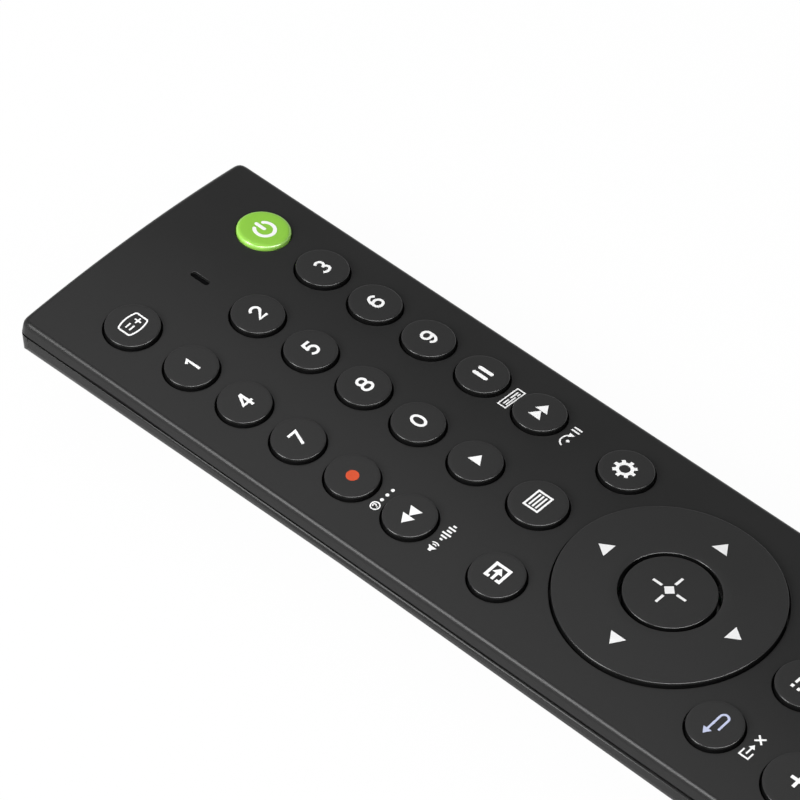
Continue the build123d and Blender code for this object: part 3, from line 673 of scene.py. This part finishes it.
class REMOTE_OT_upper_case(bpy.types.Operator):
    """Upper case: crowned top with rounded edges and a hole for each key"""

    bl_idname = "remote.upper_case"
    bl_label = "Upper Case"

    def execute(self, context):
        sizes = context.scene.remote_case
        corner_steps, rim_steps, hole_steps, slot_steps = 8, 6, 3, 24
        outline = case_outline(corner_steps, sizes.cell)
        slot_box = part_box("indicator_light_guide")
        slot_y = (slot_box[0].y + slot_box[1].y) / 2
        slot = Hole(0, slot_y, sizes.slot_width / 2, (sizes.slot_length - sizes.slot_width) / 2, slot_steps)
        holes = key_holes(sizes) + [slot]
        shell = Body()

        # Outside: a flat margin, the rounded rim, the drafted wall and the broken edge at the seam
        margin = 0.3 * MM
        rim = [wall_ring(outline, -inset, crown, drop) for inset, drop in rounding(sizes.edge_round, rim_steps)]
        middle, foot = (EDGE_TOP + SEAM_Z) / 2, SEAM_Z + sizes.foot_break
        outer = [wall_ring(outline, -sizes.edge_round - margin, crown)] + rim
        outer += [wall_ring(outline, 0, lambda x: middle), self.lifted(wall_ring(outline, 0, lambda x: foot))]
        outer.append(self.lifted(wall_ring(outline, -sizes.foot_break, lambda x: SEAM_Z)))

        # Inside: the rebate for the lower case's lip, then the wall up to the underside
        rebate_top = SEAM_Z + REBATE_HEIGHT

        def underside(x):
            return crown(x, -sizes.wall)

        inner = [self.lifted(wall_ring(outline, -LIP_REBATE, lambda x: SEAM_Z))]
        inner.append(wall_ring(outline, -LIP_REBATE, lambda x: rebate_top))
        inner += [wall_ring(outline, -sizes.wall, lambda x: rebate_top), wall_ring(outline, -sizes.wall, underside)]
        shell.rings(outer + inner)

        # Holes: a margin, the small rounded edge, and the wall down to the underside
        hole_margin = 0.12 * MM
        top_rims, under_rims = [], []
        for hole in holes:
            rings = [hole.loop(sizes.hole_round + hole_margin, crown)]
            for inset, drop in rounding(sizes.hole_round, hole_steps):
                rings.append(hole.loop(inset, lambda x: crown(x) - drop))
            rings.append(hole.loop(0, underside))
            shell.rings(rings)
            top_rims.append((rings[0], hole))
            under_rims.append((rings[-1], hole))
        keep_off = sizes.cell * 0.45
        shell.sheet(outer[0], top_rims, crown, sizes.cell, keep_off)
        shell.sheet(inner[-1], under_rims, underside, sizes.cell * 2, keep_off)

        piece = piece_of(shell, "upper_shell")
        self.cut_window(piece)
        smooth(piece)
        self.shade_crown(piece.data)
        settle(piece, "case", "case_black", case_plastic(), "upper_case")
        return {"FINISHED"}

    def lifted(self, ring):
        """Ring of the foot, raised over its seam line, with a slit along each side near the infrared end."""
        sizes = bpy.context.scene.remote_case
        middle, reach = 74 * MM, 12 * MM
        points = []
        for x, y, z in ring:
            share = max(1 - ((y - middle) / reach) ** 2, 0.0)
            points.append((x, y, z + sizes.foot_lift + sizes.slit_lift * share))
        return points

    def shade_crown(self, mesh):
        """Gives the crowned top the normals of its true curve."""
        near_top, faces_up = 0.001 * MM, 0.8
        normals = [Vector(corner.vector) for corner in mesh.corner_normals]
        for number, corner in enumerate(mesh.loops):
            place = mesh.vertices[corner.vertex_index].co
            if normals[number].z > faces_up and abs(place.z - crown(place.x)) < near_top:
                normals[number] = Vector((place.x, 0, place.z - CASE_TOP + CROWN_RADIUS)).normalized()
        mesh.normals_split_custom_set(normals)

    def cut_window(self, piece):
        """Cuts the infrared window's opening out of the end wall."""
        low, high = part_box("ir_window")
        gap, beyond = 0.05 * MM, 5 * MM
        cutter = Body()
        corners = cutter.add([
            (x, y, z) for z in (low.z - beyond, high.z + gap) for y in (low.y - gap, high.y + beyond)
            for x in (low.x - gap, high.x + gap)
        ])
        sides = ((0, 2, 3, 1), (4, 5, 7, 6), (0, 1, 5, 4), (2, 6, 7, 3), (0, 4, 6, 2), (1, 3, 7, 5))
        cutter.faces = [tuple(corners[i] for i in side) for side in sides]
        knife = piece_of(cutter, "window_cutter")
        cut = piece.modifiers.new("Window", "BOOLEAN")
        cut.object, cut.operation, cut.solver = knife, "DIFFERENCE", "EXACT"
        bake(piece)
        bpy.data.objects.remove(knife)


class REMOTE_OT_lower_case(bpy.types.Operator):
    """Lower case and battery door, smoothed from their CAD solids"""

    bl_idname = "remote.lower_case"
    bl_label = "Lower Case and Door"

    def execute(self, context):
        shells = (("lower_shell", "lower_case", "case"), ("door_shell", "battery_door", "battery_door"))
        sharp_angle = math.radians(25)
        for name, source, body in shells:
            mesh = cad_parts[source].data.copy()
            mesh.name = name
            tidy_mesh(mesh)
            piece = piece_from(mesh, name)
            self.fit_seam(mesh)
            smooth(piece, sharp_angle)
            settle(piece, body, "case_black", case_plastic(), source)
        return {"FINISHED"}

    def fit_seam(self, mesh):
        """Deepens the seam's groove and moves the corners out under those of the upper case."""
        inner_corner, near, deeper, slack = 0.15 * MM, 0.05 * MM, 0.6 * MM, 0.01 * MM
        round_below, fade = 11.5 * MM, 3 * MM
        for point in mesh.vertices:
            place = point.co
            core_x, core_y = HALF_WIDTH - CORNER, HALF_LENGTH - CORNER
            beyond_x, beyond_y = abs(place.x) - core_x, abs(place.y) - core_y

            # The inner corner of the ledge under the seam goes down
            inset = CORNER - math.hypot(max(beyond_x, 0.0), max(beyond_y, 0.0))
            at_ledge = SEAM_Z - SEAM_GAP - slack < place.z < SEAM_Z + slack
            if at_ledge and abs(inset - inner_corner) < near:
                place.z -= deeper

            # A corner of the outline goes out, and less the further down it is
            if beyond_x > 0 and beyond_y > 0:
                reach = math.hypot(beyond_x, beyond_y)
                share = min(max((place.z - round_below) / fade, 0.0), 1.0)
                out = 1 + share * (squared(beyond_x / reach, beyond_y / reach) - 1)
                place.x = math.copysign(core_x + beyond_x * out, place.x)
                place.y = math.copysign(core_y + beyond_y * out, place.y)


class REMOTE_OT_round_keys(bpy.types.Operator):
    """Round keys: black, coloured and the power key"""

    bl_idname = "remote.round_keys"
    bl_label = "Round Keys"

    def execute(self, context):
        keys = context.scene.remote_keys
        finishes = {name: ("key_black", black_plastic()) for name in BLACK_KEYS}
        for name in COLOURED_KEYS:
            tint = getattr(keys, name.removeprefix("key_"))
            finishes[name] = (name, key_plastic(name, tint, roughness=0.4, depth=0.003))
        # The power key's rim and side take a lighter colour, which is a painted highlight
        lime = key_plastic("key_lime", keys.power, keys.power_painted_highlight, roughness=0.38, depth=0.003, coat=1.0)
        finishes["key_power"] = ("key_lime", lime)
        for name, (slot, finish) in finishes.items():
            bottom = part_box(name)[0].z
            rim = keys.power_rim if name == "key_power" else keys.rim
            key_cap(name, slot, finish, bottom, {"Flange Top": bottom + keys.flange, "Rim": rim})
        return {"FINISHED"}


class REMOTE_OT_tilting_keys(bpy.types.Operator):
    """Navigation ring and the two long rocker keys"""

    bl_idname = "remote.tilting_keys"
    bl_label = "Ring and Rockers"

    def execute(self, context):
        keys = context.scene.remote_keys
        foot = 15.0 * MM
        ring = {"Bore": 7.72 * MM, "Hollow": 13.6 * MM, "Plate Bottom": 17.5 * MM, "Flange Top": foot + keys.flange}
        ring.update({"Bore Rim": keys.rim, "Steps": WIDE_STEPS})
        key_cap("key_navigation", "key_black", black_plastic(), foot, ring)

        # A rocker's foot reaches over the mat, so it stands high enough to tip without touching it
        foot, foot_top = 15.3 * MM, 15.6 * MM
        for name in ROCKER_KEYS:
            long = {"Straight": key_place(name)[3], "Flange Top": foot_top, "Bore Rim": keys.rim}
            key_cap(name, "key_black", black_plastic(), foot, long)
        return {"FINISHED"}


# Printed symbols, in millimetres round their own centre, with the infrared end upwards


def arc(x, y, rx, ry, start, end, steps=20):
    """Points along an elliptical arc; the angles are in degrees."""
    angles = [math.radians(start + (end - start) * step / steps) for step in range(steps + 1)]
    return [(x + rx * math.cos(a), y + ry * math.sin(a)) for a in angles]


def loop(x, y, rx, ry, steps=28):
    """Points round a whole ellipse."""
    return arc(x, y, rx, ry, 0, 360, steps)[:-1]


def stroke(points, width, closed=False):
    """Quads that thicken a line of points, mitred where it turns."""
    line = [Vector(p) for p in points]
    count, longest_mitre = len(line), 1.6
    left, right = [], []
    for i, point in enumerate(line):
        after = line[(i + 1) % count] if closed or i < count - 1 else None
        before = line[i - 1] if closed or i > 0 else None
        ways = [(b - a).normalized() for a, b in ((before, point), (point, after)) if a is not None and b is not None]
        way = sum(ways, Vector((0, 0))).normalized()
        normal = Vector((-way.y, way.x))
        turn = max(ways[0].dot(way), 1 / longest_mitre)
        left.append(point + normal * (width / 2 / turn))
        right.append(point - normal * (width / 2 / turn))
    spans = range(count if closed else count - 1)
    return [(left[i], left[(i + 1) % count], right[(i + 1) % count], right[i]) for i in spans]


def bars(width, *ends):
    """Straight strokes of one width, each from one point to another."""
    return [quad for x0, y0, x1, y1 in ends for quad in stroke([(x0, y0), (x1, y1)], width)]


def frame_line(half_x, half_y, width):
    """Outline of a rectangle."""
    return stroke([(-half_x, -half_y), (half_x, -half_y), (half_x, half_y), (-half_x, half_y)], width, True)


def round_stroke(points, width):
    """Open stroke with round ends."""
    end_steps = 16
    ends = [loop(*end, width / 2, width / 2, end_steps) for end in (points[0], points[-1])]
    return stroke(points, width) + ends


def moved(shapes, x, y):
    """Shapes moved by x and y."""
    return [[(p[0] + x, p[1] + y) for p in shape] for shape in shapes]


def triangle(x, y, width, height, direction):
    """Triangle that points along +X or -X, with its middle at x and y."""
    tip, base = x + direction * width / 2, x - direction * width / 2
    return [[(tip, y), (base, y + height / 2), (base, y - height / 2)]]


def digit(number, prints):
    """Strokes of a digit in a plain round-cornered hand."""
    half_x, half_y = prints.digit_width / MM / 2, prints.digit_height / MM / 2
    six = [(loop(0, -0.4, 0.97, 0.6), True), (arc(0.05, 0, 1.02, 1.0, 205, 42), False)]
    lines = {
        0: [(loop(0, 0, 0.95, 1), True)],
        1: [([(-0.58, 0.56), (0.16, 0.96), (0.16, -1.2)], False)],
        2: [(arc(-0.1, 0.48, 0.9, 0.57, 172, -38) + [(-0.9, -0.94), (0.9, -0.94)], False)],
        3: [(arc(-0.2, 0.5, 0.8, 0.5, 148, -90), False), (arc(-0.2, -0.5, 0.95, 0.5, 90, -150), False)],
        4: [([(0.4, -1.16), (0.4, 1.0), (0.2, 1.0), (-1.02, -0.45), (1.1, -0.45)], False)],
        5: [([(0.85, 1.0), (-0.6, 1.0), (-0.75, -0.02)], False), (arc(-0.02, -0.36, 0.95, 0.64, 145, -148), False)],
        6: six,
        7: [([(-1.2, 0.98), (0.62, 0.98), (-0.54, -1.14)], False)],
        8: [(loop(0, 0.53, 0.84, 0.53), True), (loop(0, -0.5, 1.02, 0.56), True)],
        9: [([(-x, -y) for x, y in points], closed) for points, closed in six],
    }
    shapes = []
    for points, closed in lines[number]:
        placed = [(x * half_x, y * half_y) for x, y in points]
        shapes += stroke(placed, prints.digit_stroke / MM, closed)
    return shapes


def double_arrow(direction):
    """Two triangles in a row."""
    return triangle(-0.86, 0, 1.72, 2.28, direction) + triangle(0.86, 0, 1.72, 2.28, direction)


def screen():
    """Barrel-shaped screen with two lines and a plus."""
    top, bottom = arc(0, -3.8, 5.35, 5.35, 110.2, 69.8, 8), arc(0, 3.8, 5.35, 5.35, 290.2, 249.8, 8)
    shapes = stroke([(-2.04, -1.0), (-2.04, 1.0)] + top + [(2.04, 1.0), (2.04, -1.0)] + bottom, 0.28, True)
    shapes += bars(0.28, (-1.22, 0.4, -0.1, 0.4), (-1.22, -0.4, -0.1, -0.4))
    return shapes + bars(0.27, (0.4, -0.1, 1.6, -0.1), (1, -0.72, 1, 0.52))


def gear():
    """Ring with eight teeth."""
    inner, outer = 1.2, 1.9
    turns = [(math.cos(angle), math.sin(angle)) for angle in (math.radians(45 * tooth) for tooth in range(8))]
    teeth = [(inner * x, inner * y, outer * x, outer * y) for x, y in turns]
    return stroke(loop(0, 0, 1.14, 1.14, 40), 0.54, True) + bars(0.6, *teeth)


def ring_arrows():
    """Four triangles that point away from the middle."""
    tip, base, half = 13.55, 11.45, 1.4
    return [
        [(tip * x, tip * y), (base * x - half * y, base * y + half * x), (base * x + half * y, base * y - half * x)]
        for x, y in WAYS
    ]


def speaker(x, waves, scale):
    """Loudspeaker with its sound waves."""
    cone = [(-0.95, 0.42), (-0.4, 0.42), (0.35, 1.1), (0.35, -1.1), (-0.4, -0.42), (-0.95, -0.42)]
    shapes = [cone]
    for wave in range(waves):
        radius = 0.75 + 0.6 * wave
        shapes += stroke(arc(0.3, 0, radius, radius, -42, 42, 10), 0.27)
    return [[(x + px * scale, py * scale) for px, py in shape] for shape in shapes]


def chevron(direction):
    """Angle that points along +Y or -Y."""
    return stroke([(-1.3, -0.5 * direction), (0, 0.7 * direction), (1.3, -0.5 * direction)], 0.5)


def key_symbols(prints):
    """Ink, shift and shapes of the symbol on each key."""
    symbols = {f"key_{number}": ("white", 0.18, 0.11, digit(number, prints)) for number in range(10)}
    way_in = stroke([(-1.3, 0.62), (-1.3, 1.3), (1.3, 1.3), (1.3, -1.3), (-1.3, -1.3), (-1.3, -0.62)], 0.5)
    arms = [(1.4 * x, 1.4 * y, 3.1 * x, 3.1 * y) for x, y in WAYS]
    turn = [(-1.6, 0.35), (1.55, 0.35)] + arc(1.55, -0.35, 0.7, 0.7, 90, -90, 10)[1:] + [(-0.6, -1.05)]
    house = stroke([(-1.9, 0.1), (0, 1.6), (1.9, 0.1)], 0.4)
    house += stroke([(-1.25, 0.35), (-1.25, -1.45), (1.25, -1.45), (1.25, 0.35)], 0.36)
    rows = [bars(0.5, (-1.95, y, -1.4, y)) + bars(0.42, (-0.9, y, 1.95, y)) for y in (-1.15, 0, 1.15)]
    squares = [(x * 1.3 - 0.45, y * 1.45, x * 1.3 + 0.45, y * 1.45) for x in (-1, 0, 1) for y in (-0.5, 0.5)]
    plus, minus = bars(0.55, (-1.35, 0, 1.35, 0), (0, -1.35, 0, 1.35)), bars(0.55, (-1.35, 0, 1.35, 0))
    pause = [round_stroke([(x, -1.1), (x, 1.1)], 0.68) for x in (-0.68, 0.68)]
    power = round_stroke(arc(0, 0, 1.6, 1.6, 128, 412, 36), 0.6) + round_stroke([(0, 0.1), (0, 1.75)], 0.62)
    lines = bars(0.3, *[(-1.34, y, 1.34, y) for y in (-0.62, 0, 0.62)])
    mute = speaker(-0.6, 0, 1.15) + bars(0.32, (0.4, -0.6, 1.6, 0.6), (0.4, 0.6, 1.6, -0.6))
    symbols.update({
        "key_power": ("white", -0.08, -0.26, power),
        "key_screen_info": ("white", 0.13, 0.05, screen()),
        "key_record": ("orange", 0, 0, [loop(0, 0, 1.02, 1.02, 36)]),
        "key_pause": ("white", 0.14, 0.04, pause[0] + pause[1]),
        "key_rewind": ("white", -0.24, 0, double_arrow(-1)),
        "key_forward": ("white", 0.31, 0, double_arrow(1)),
        "key_play": ("white", 0, 0, triangle(0.5, 0.03, 1.83, 2.4, 1)),
        "key_list": ("white", 0.17, 0.18, frame_line(1.76, 1.29, 0.33) + lines),
        "key_input": ("white", 0.33, 0.12, way_in + bars(0.48, (-1.5, 0, 0, 0)) + triangle(0.36, 0, 1.14, 1.78, 1)),
        "key_settings": ("white", -0.11, 0.24, gear()),
        "key_ok": ("grey", 0.15, 0.27, [WAYS] + bars(0.43, *arms)),
        "key_navigation": ("grey", -0.05, 0.09, ring_arrows()),
        "key_back": ("violet", 0, 0, stroke(turn, 0.36) + triangle(-1.85, 0.35, 1.1, 1.5, -1)),
        "key_home": ("white", 0, 0, house),
        "key_menu": ("white", 0, 0, rows[0] + rows[1] + rows[2]),
        "key_mute": ("white", 0, 0, mute),
        "key_guide": ("white", 0, 0, bars(0.95, *squares)),
        "key_volume": ("white", 0, 0, moved(plus, 0, 8) + speaker(-0.1, 2, 0.9) + moved(minus, 0, -8)),
        "key_channel": ("white", 0, 0, moved(chevron(1), 0, 8) + screen() + moved(chevron(-1), 0, -8)),
    })
    return symbols


def case_symbols():
    """The key that each pictogram on the case is under, its shift from that key and its shapes."""
    question = stroke(loop(-1.8, 0, 0.72, 0.72), 0.2, True)
    question += stroke(arc(-1.8, 0.14, 0.27, 0.27, 170, -60, 10) + [(-1.8, -0.17)], 0.18)
    question += bars(0.2, (-1.8, -0.28, -1.8, -0.46)) + [loop(x, 0, 0.3, 0.3, 16) for x in (-0.3, 0.9, 2.1)]
    dashes = bars(
        0.24, (-1.7, 0.12, -0.5, 0.12), (-0.1, 0.12, 1.7, 0.12), (-1.7, -0.32, 0.6, -0.32), (1.0, -0.32, 1.7, -0.32)
    )
    levels = [(-0.25 + step * 0.62, height / 2) for step, height in enumerate((0.5, 1.1, 1.6, 0.9, 1.3, 0.6))]
    hop = stroke(arc(-0.9, -0.55, 1.35, 1.15, 172, 30, 14), 0.25) + [loop(-0.9, -0.5, 0.28, 0.28, 14)]
    hop += [[(0.62, -0.62), (-0.18, 0.1), (0.72, 0.42)]] + bars(0.3, (1.5, -0.75, 1.5, 0.75), (2.2, -0.75, 2.2, 0.75))
    leave = stroke([(-1.0, 0.8), (-2.2, 0.8), (-2.2, -0.8), (-1.0, -0.8)], 0.26) + bars(0.28, (-1.6, 0, -0.3, 0))
    leave += triangle(0.0, 0, 0.75, 1.05, 1) + bars(0.3, (1.0, -0.65, 2.2, 0.65), (1.0, 0.65, 2.2, -0.65))
    return {
        "print_help": ("key_record", 0.25, -5.95, question),
        "print_subtitle": ("key_pause", -0.25, -6.05, frame_line(2.3, 0.72, 0.22) + dashes),
        "print_sound": (
            "key_rewind", 0.35, -6.05, speaker(-2.35, 2, 0.68) + bars(0.3, *[(x, -half, x, half) for x, half in levels])
        ),
        "print_skip": ("key_forward", -0.25, -6.05, hop),
        "print_leave": ("key_back", 0.95, -6.3, leave),
    }


def printed(name, shapes, x, y, surface, body, finish):
    """Thin film of ink in the union of the shapes, laid on a surface."""
    prints = bpy.context.scene.remote_prints
    points, faces = triangulate(shapes)
    kept = []
    for face in faces:
        middle = sum((points[i] for i in face), Vector((0, 0))) / len(face)
        if any(contains(shape, middle) for shape in shapes):
            kept.append(tuple(face))
    film = Body()
    places = [(x + p.x * MM, y + p.y * MM) for p in points]
    top = film.add([(px, py, surface(px) + prints.film) for px, py in places])
    bottom = film.add([(px, py, surface(px) - prints.sunk) for px, py in places])
    film.faces += [tuple(top[i] for i in face) for face in kept]
    film.faces += [tuple(bottom[i] for i in reversed(face)) for face in kept]
    spans = {}
    for face in kept:
        for a, b in zip(face, face[1:] + face[:1]):
            spans[(a, b)] = True
    film.faces += [(bottom[a], bottom[b], top[b], top[a]) for a, b in spans if (b, a) not in spans]
    used = sorted({i for face in film.faces for i in face})
    renumber = {old: new for new, old in enumerate(used)}
    film.points = [film.points[i] for i in used]
    film.faces = [tuple(renumber[i] for i in face) for face in film.faces]
    piece = piece_of(film, name)
    return settle(piece, body, "key_black" if body != "case" else "case_black", finish)


class REMOTE_OT_key_prints(bpy.types.Operator):
    """Digits and symbols printed on the keys"""

    bl_idname = "remote.key_prints"
    bl_label = "Symbols on the Keys"

    def execute(self, context):
        prints = context.scene.remote_prints
        for name, (tint, right, up, shapes) in key_symbols(prints).items():
            x, y, _, _ = key_place(name)
            finish = ink("ink_" + tint, getattr(prints, tint))
            printed("print_" + name, moved(shapes, right, up), x, y, key_top, name, finish)
        return {"FINISHED"}


class REMOTE_OT_case_prints(bpy.types.Operator):
    """Small pictograms printed on the case beside five keys"""

    bl_idname = "remote.case_prints"
    bl_label = "Pictograms on the Case"

    def execute(self, context):
        white = ink("ink_white", context.scene.remote_prints.white)
        for name, (key, right, up, shapes) in case_symbols().items():
            x, y, _, _ = key_place(key)
            printed(name, shapes, x + right * MM, y + up * MM, crown, "case", white)
        return {"FINISHED"}


class REMOTE_OT_inner_parts(bpy.types.Operator):
    """Finishes of the parts that keep their CAD meshes"""

    bl_idname = "remote.inner_parts"
    bl_label = "Inner Parts"

    def execute(self, context):
        # For each slot: its nodes, display colour, roughness, scale of the grain, its depth in millimetres and the rest
        metal = {"Metallic": 1.0}
        looks = {
            "ir_smoke": (["ir_window"], (24, 8, 12), 0.12, 300.0, 0.001, {}),
            "guide_smoke": (["indicator_light_guide"], (5, 5, 6), 0.6, 300.0, 0.001, {"level": 0.05}),
            "led_clear": (["indicator_led", "ir_led"], (214, 218, 224), 0.15, 300.0, 0.001, {}),
            "silicone_grey": (["keypad_mat", "navigation_carrier"], (92, 92, 96), 0.7, 2500.0, 0.01, {}),
            "board_green": (["circuit_board"], (22, 84, 48), 0.35, 900.0, 0.01, {"variation": 0.4}),
            "screw_steel": (["board_screws"], (176, 176, 178), 0.3, 2500.0, 0.004, metal),
            "chip_black": (["controller_chip"], (26, 26, 27), 0.6, 4000.0, 0.006, {}),
            "can_steel": (["crystal"], (190, 190, 188), 0.28, 1500.0, 0.003, metal),
            "capacitor_sleeve": (["capacitor"], (34, 44, 96), 0.3, 800.0, 0.002, {}),
            "cell_jacket": (["battery_left", "battery_right"], (128, 134, 142), 0.32, 1200.0, 0.002, {}),
            "contact_steel": (["battery_contacts", "battery_springs"], (200, 192, 178), 0.3, 2200.0, 0.004, metal),
        }
        for slot, (nodes, tint, roughness, grain, depth, rest) in looks.items():
            finish = plastic(slot, srgb(*tint), roughness, grain, depth, **rest)
            for name in nodes:
                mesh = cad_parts[name].data
                mesh.materials.clear()
                mesh.materials.append(finish)
        return {"FINISHED"}


class REMOTE_OT_stage(bpy.types.Operator):
    """Floor, lights and the camera of the photograph"""

    bl_idname = "remote.stage"
    bl_label = "Stage"

    def execute(self, context):
        stage = context.scene.remote_stage
        self.add_floor(stage)
        self.add_sky(context.scene, stage)
        self.add_softbox("edge_light", (-0.74, 0.36, 0.56), 0.45, 0.45, stage.edge_light)
        self.add_softbox("front_light", (-0.36, -0.6, 0.65), 2.0, 0.25, stage.front_light)
        self.add_softbox("top_light", (0.2, 0.43, 0.88), 0.6, 0.6, stage.top_light)
        self.add_softbox("rim_light", (-0.3, -0.64, 0.68), 1.8, 0.25, stage.rim_light).visible_diffuse = False
        self.add_camera(context.scene, stage)
        context.scene.view_settings.view_transform = "Standard"
        return {"FINISHED"}

    def plain_view(self, tree, in_gloss):
        """One where a ray comes from the camera or a clear part, in_gloss for a reflection, else zero."""
        path = node(tree, "ShaderNodeLightPath").outputs
        seen = maths(tree, "ADD", path["Is Camera Ray"], maths(tree, "MULTIPLY", path["Is Glossy Ray"], in_gloss))
        seen = maths(tree, "ADD", seen, path["Is Transmission Ray"])
        seen.node.use_clamp = True
        return seen

    def add_floor(self, stage):
        """Pale floor that shows white and keeps a soft shadow."""
        size, in_gloss, whiteness = 4.0, 0.3, 0.97
        mesh = bpy.data.meshes.new("floor")
        mesh.from_pydata([(-size, -size, 0), (size, -size, 0), (size, size, 0), (-size, size, 0)], [], [(0, 1, 2, 3)])
        floor = piece_from(mesh, "floor")
        paper = bpy.data.materials.new("floor_paper")
        paper.use_nodes = True
        tree = paper.node_tree
        tree.nodes.clear()
        diffuse = node(tree, "ShaderNodeBsdfDiffuse", {"Color": (*stage.floor, 1.0)})
        glow = node(tree, "ShaderNodeEmission", {"Color": (1, 1, 1, 1), "Strength": 1.0})
        share = maths(tree, "MULTIPLY", self.plain_view(tree, in_gloss), whiteness)
        mixed = node(tree, "ShaderNodeMixShader", {0: share, 1: diffuse.outputs[0], 2: glow.outputs[0]})
        node(tree, "ShaderNodeOutputMaterial", {"Surface": mixed.outputs[0]})
        mesh.materials.append(paper)

    def add_sky(self, scene, stage):
        """Even surroundings that show white, in reflections only up to the height of a low wall."""
        world = bpy.data.worlds.new("studio")
        world.use_nodes = True
        tree = world.node_tree
        tree.nodes.clear()
        wall_foot, wall_head = 0.1, 0.5
        dim = node(tree, "ShaderNodeBackground", {"Color": (1, 1, 1, 1), "Strength": stage.sky})
        plain = node(tree, "ShaderNodeBackground", {"Color": (1, 1, 1, 1), "Strength": 1.0})
        direction = node(tree, "ShaderNodeTexCoord").outputs["Generated"]
        height = node(tree, "ShaderNodeSeparateXYZ", {0: direction}).outputs["Z"]
        fade = node(tree, "ShaderNodeMapRange", {"Value": height, 1: wall_foot, 2: wall_head, 3: 1.0, 4: 0.0})
        seen = self.plain_view(tree, fade.outputs[0])
        mixed = node(tree, "ShaderNodeMixShader", {0: seen, 1: dim.outputs[0], 2: plain.outputs[0]})
        node(tree, "ShaderNodeOutputWorld", {"Surface": mixed.outputs[0]})
        scene.world = world

    def add_softbox(self, name, direction, width, height, power):
        """Lamp with four corners that faces the remote from a metre away."""
        distance = 1.0
        lamp = bpy.data.lights.new(name, "AREA")
        lamp.shape, lamp.size, lamp.size_y, lamp.energy = "RECTANGLE", width, height, power
        box = bpy.data.objects.new(name, lamp)
        bpy.context.scene.collection.objects.link(box)
        way = Vector(direction).normalized()
        box.matrix_world = Matrix.Translation(way * distance) @ way.to_track_quat("Z", "Y").to_matrix().to_4x4()
        return box

    def add_camera(self, scene, stage):
        """Camera where the photograph was taken."""
        flat = math.cos(stage.elevation)
        down = -math.sin(stage.elevation)
        forward = Vector((math.sin(stage.azimuth) * flat, math.cos(stage.azimuth) * flat, down))
        level = forward.cross(Vector((0, 0, 1))).normalized()
        upright = level.cross(forward)
        right = math.cos(stage.roll) * level + math.sin(stage.roll) * upright
        up = -math.sin(stage.roll) * level + math.cos(stage.roll) * upright
        turn = Matrix((right, up, -forward)).transposed().to_4x4()
        lens = bpy.data.cameras.new("camera")
        lens.lens = stage.lens
        lens.clip_start, lens.clip_end = 0.01, 20.0
        camera = bpy.data.objects.new("camera", lens)
        scene.collection.objects.link(camera)
        camera.matrix_world = Matrix.Translation(Vector(stage.target) - forward * stage.distance) @ turn
        scene.camera = camera


OPERATORS = (
    REMOTE_OT_upper_case, REMOTE_OT_lower_case, REMOTE_OT_round_keys, REMOTE_OT_tilting_keys,
    REMOTE_OT_key_prints, REMOTE_OT_case_prints, REMOTE_OT_inner_parts, REMOTE_OT_stage,
)


class REMOTE_PT_panel(bpy.types.Panel):
    """Buttons that build the remote piece by piece"""

    bl_idname = "REMOTE_PT_panel"
    bl_label = "Remote Control"
    bl_space_type = "VIEW_3D"
    bl_region_type = "UI"
    bl_category = "Remote"

    def draw(self, context):
        for operator in OPERATORS:
            self.layout.operator(operator.bl_idname)
        for name in SETTINGS:
            box = self.layout.box()
            settings = getattr(context.scene, name)
            for key in settings.__annotations__:
                box.prop(settings, key)


SETTINGS = {
    "remote_case": RemoteCaseSettings, "remote_keys": RemoteKeySettings,
    "remote_prints": RemotePrintSettings, "remote_stage": RemoteStageSettings,
}


def register():
    for settings in SETTINGS.values():
        bpy.utils.register_class(settings)
    for operator in OPERATORS:
        bpy.utils.register_class(operator)
    bpy.utils.register_class(REMOTE_PT_panel)
    for name, settings in SETTINGS.items():
        setattr(bpy.types.Scene, name, bpy.props.PointerProperty(type=settings))


def unregister():
    for name in SETTINGS:
        delattr(bpy.types.Scene, name)
    bpy.utils.unregister_class(REMOTE_PT_panel)
    for operator in reversed(OPERATORS):
        bpy.utils.unregister_class(operator)
    for settings in reversed(SETTINGS.values()):
        bpy.utils.unregister_class(settings)


def main():
    register()
    for operator in OPERATORS:
        group, name = operator.bl_idname.split(".")
        getattr(getattr(bpy.ops, group), name)()


if __name__ == "__main__":
    main()
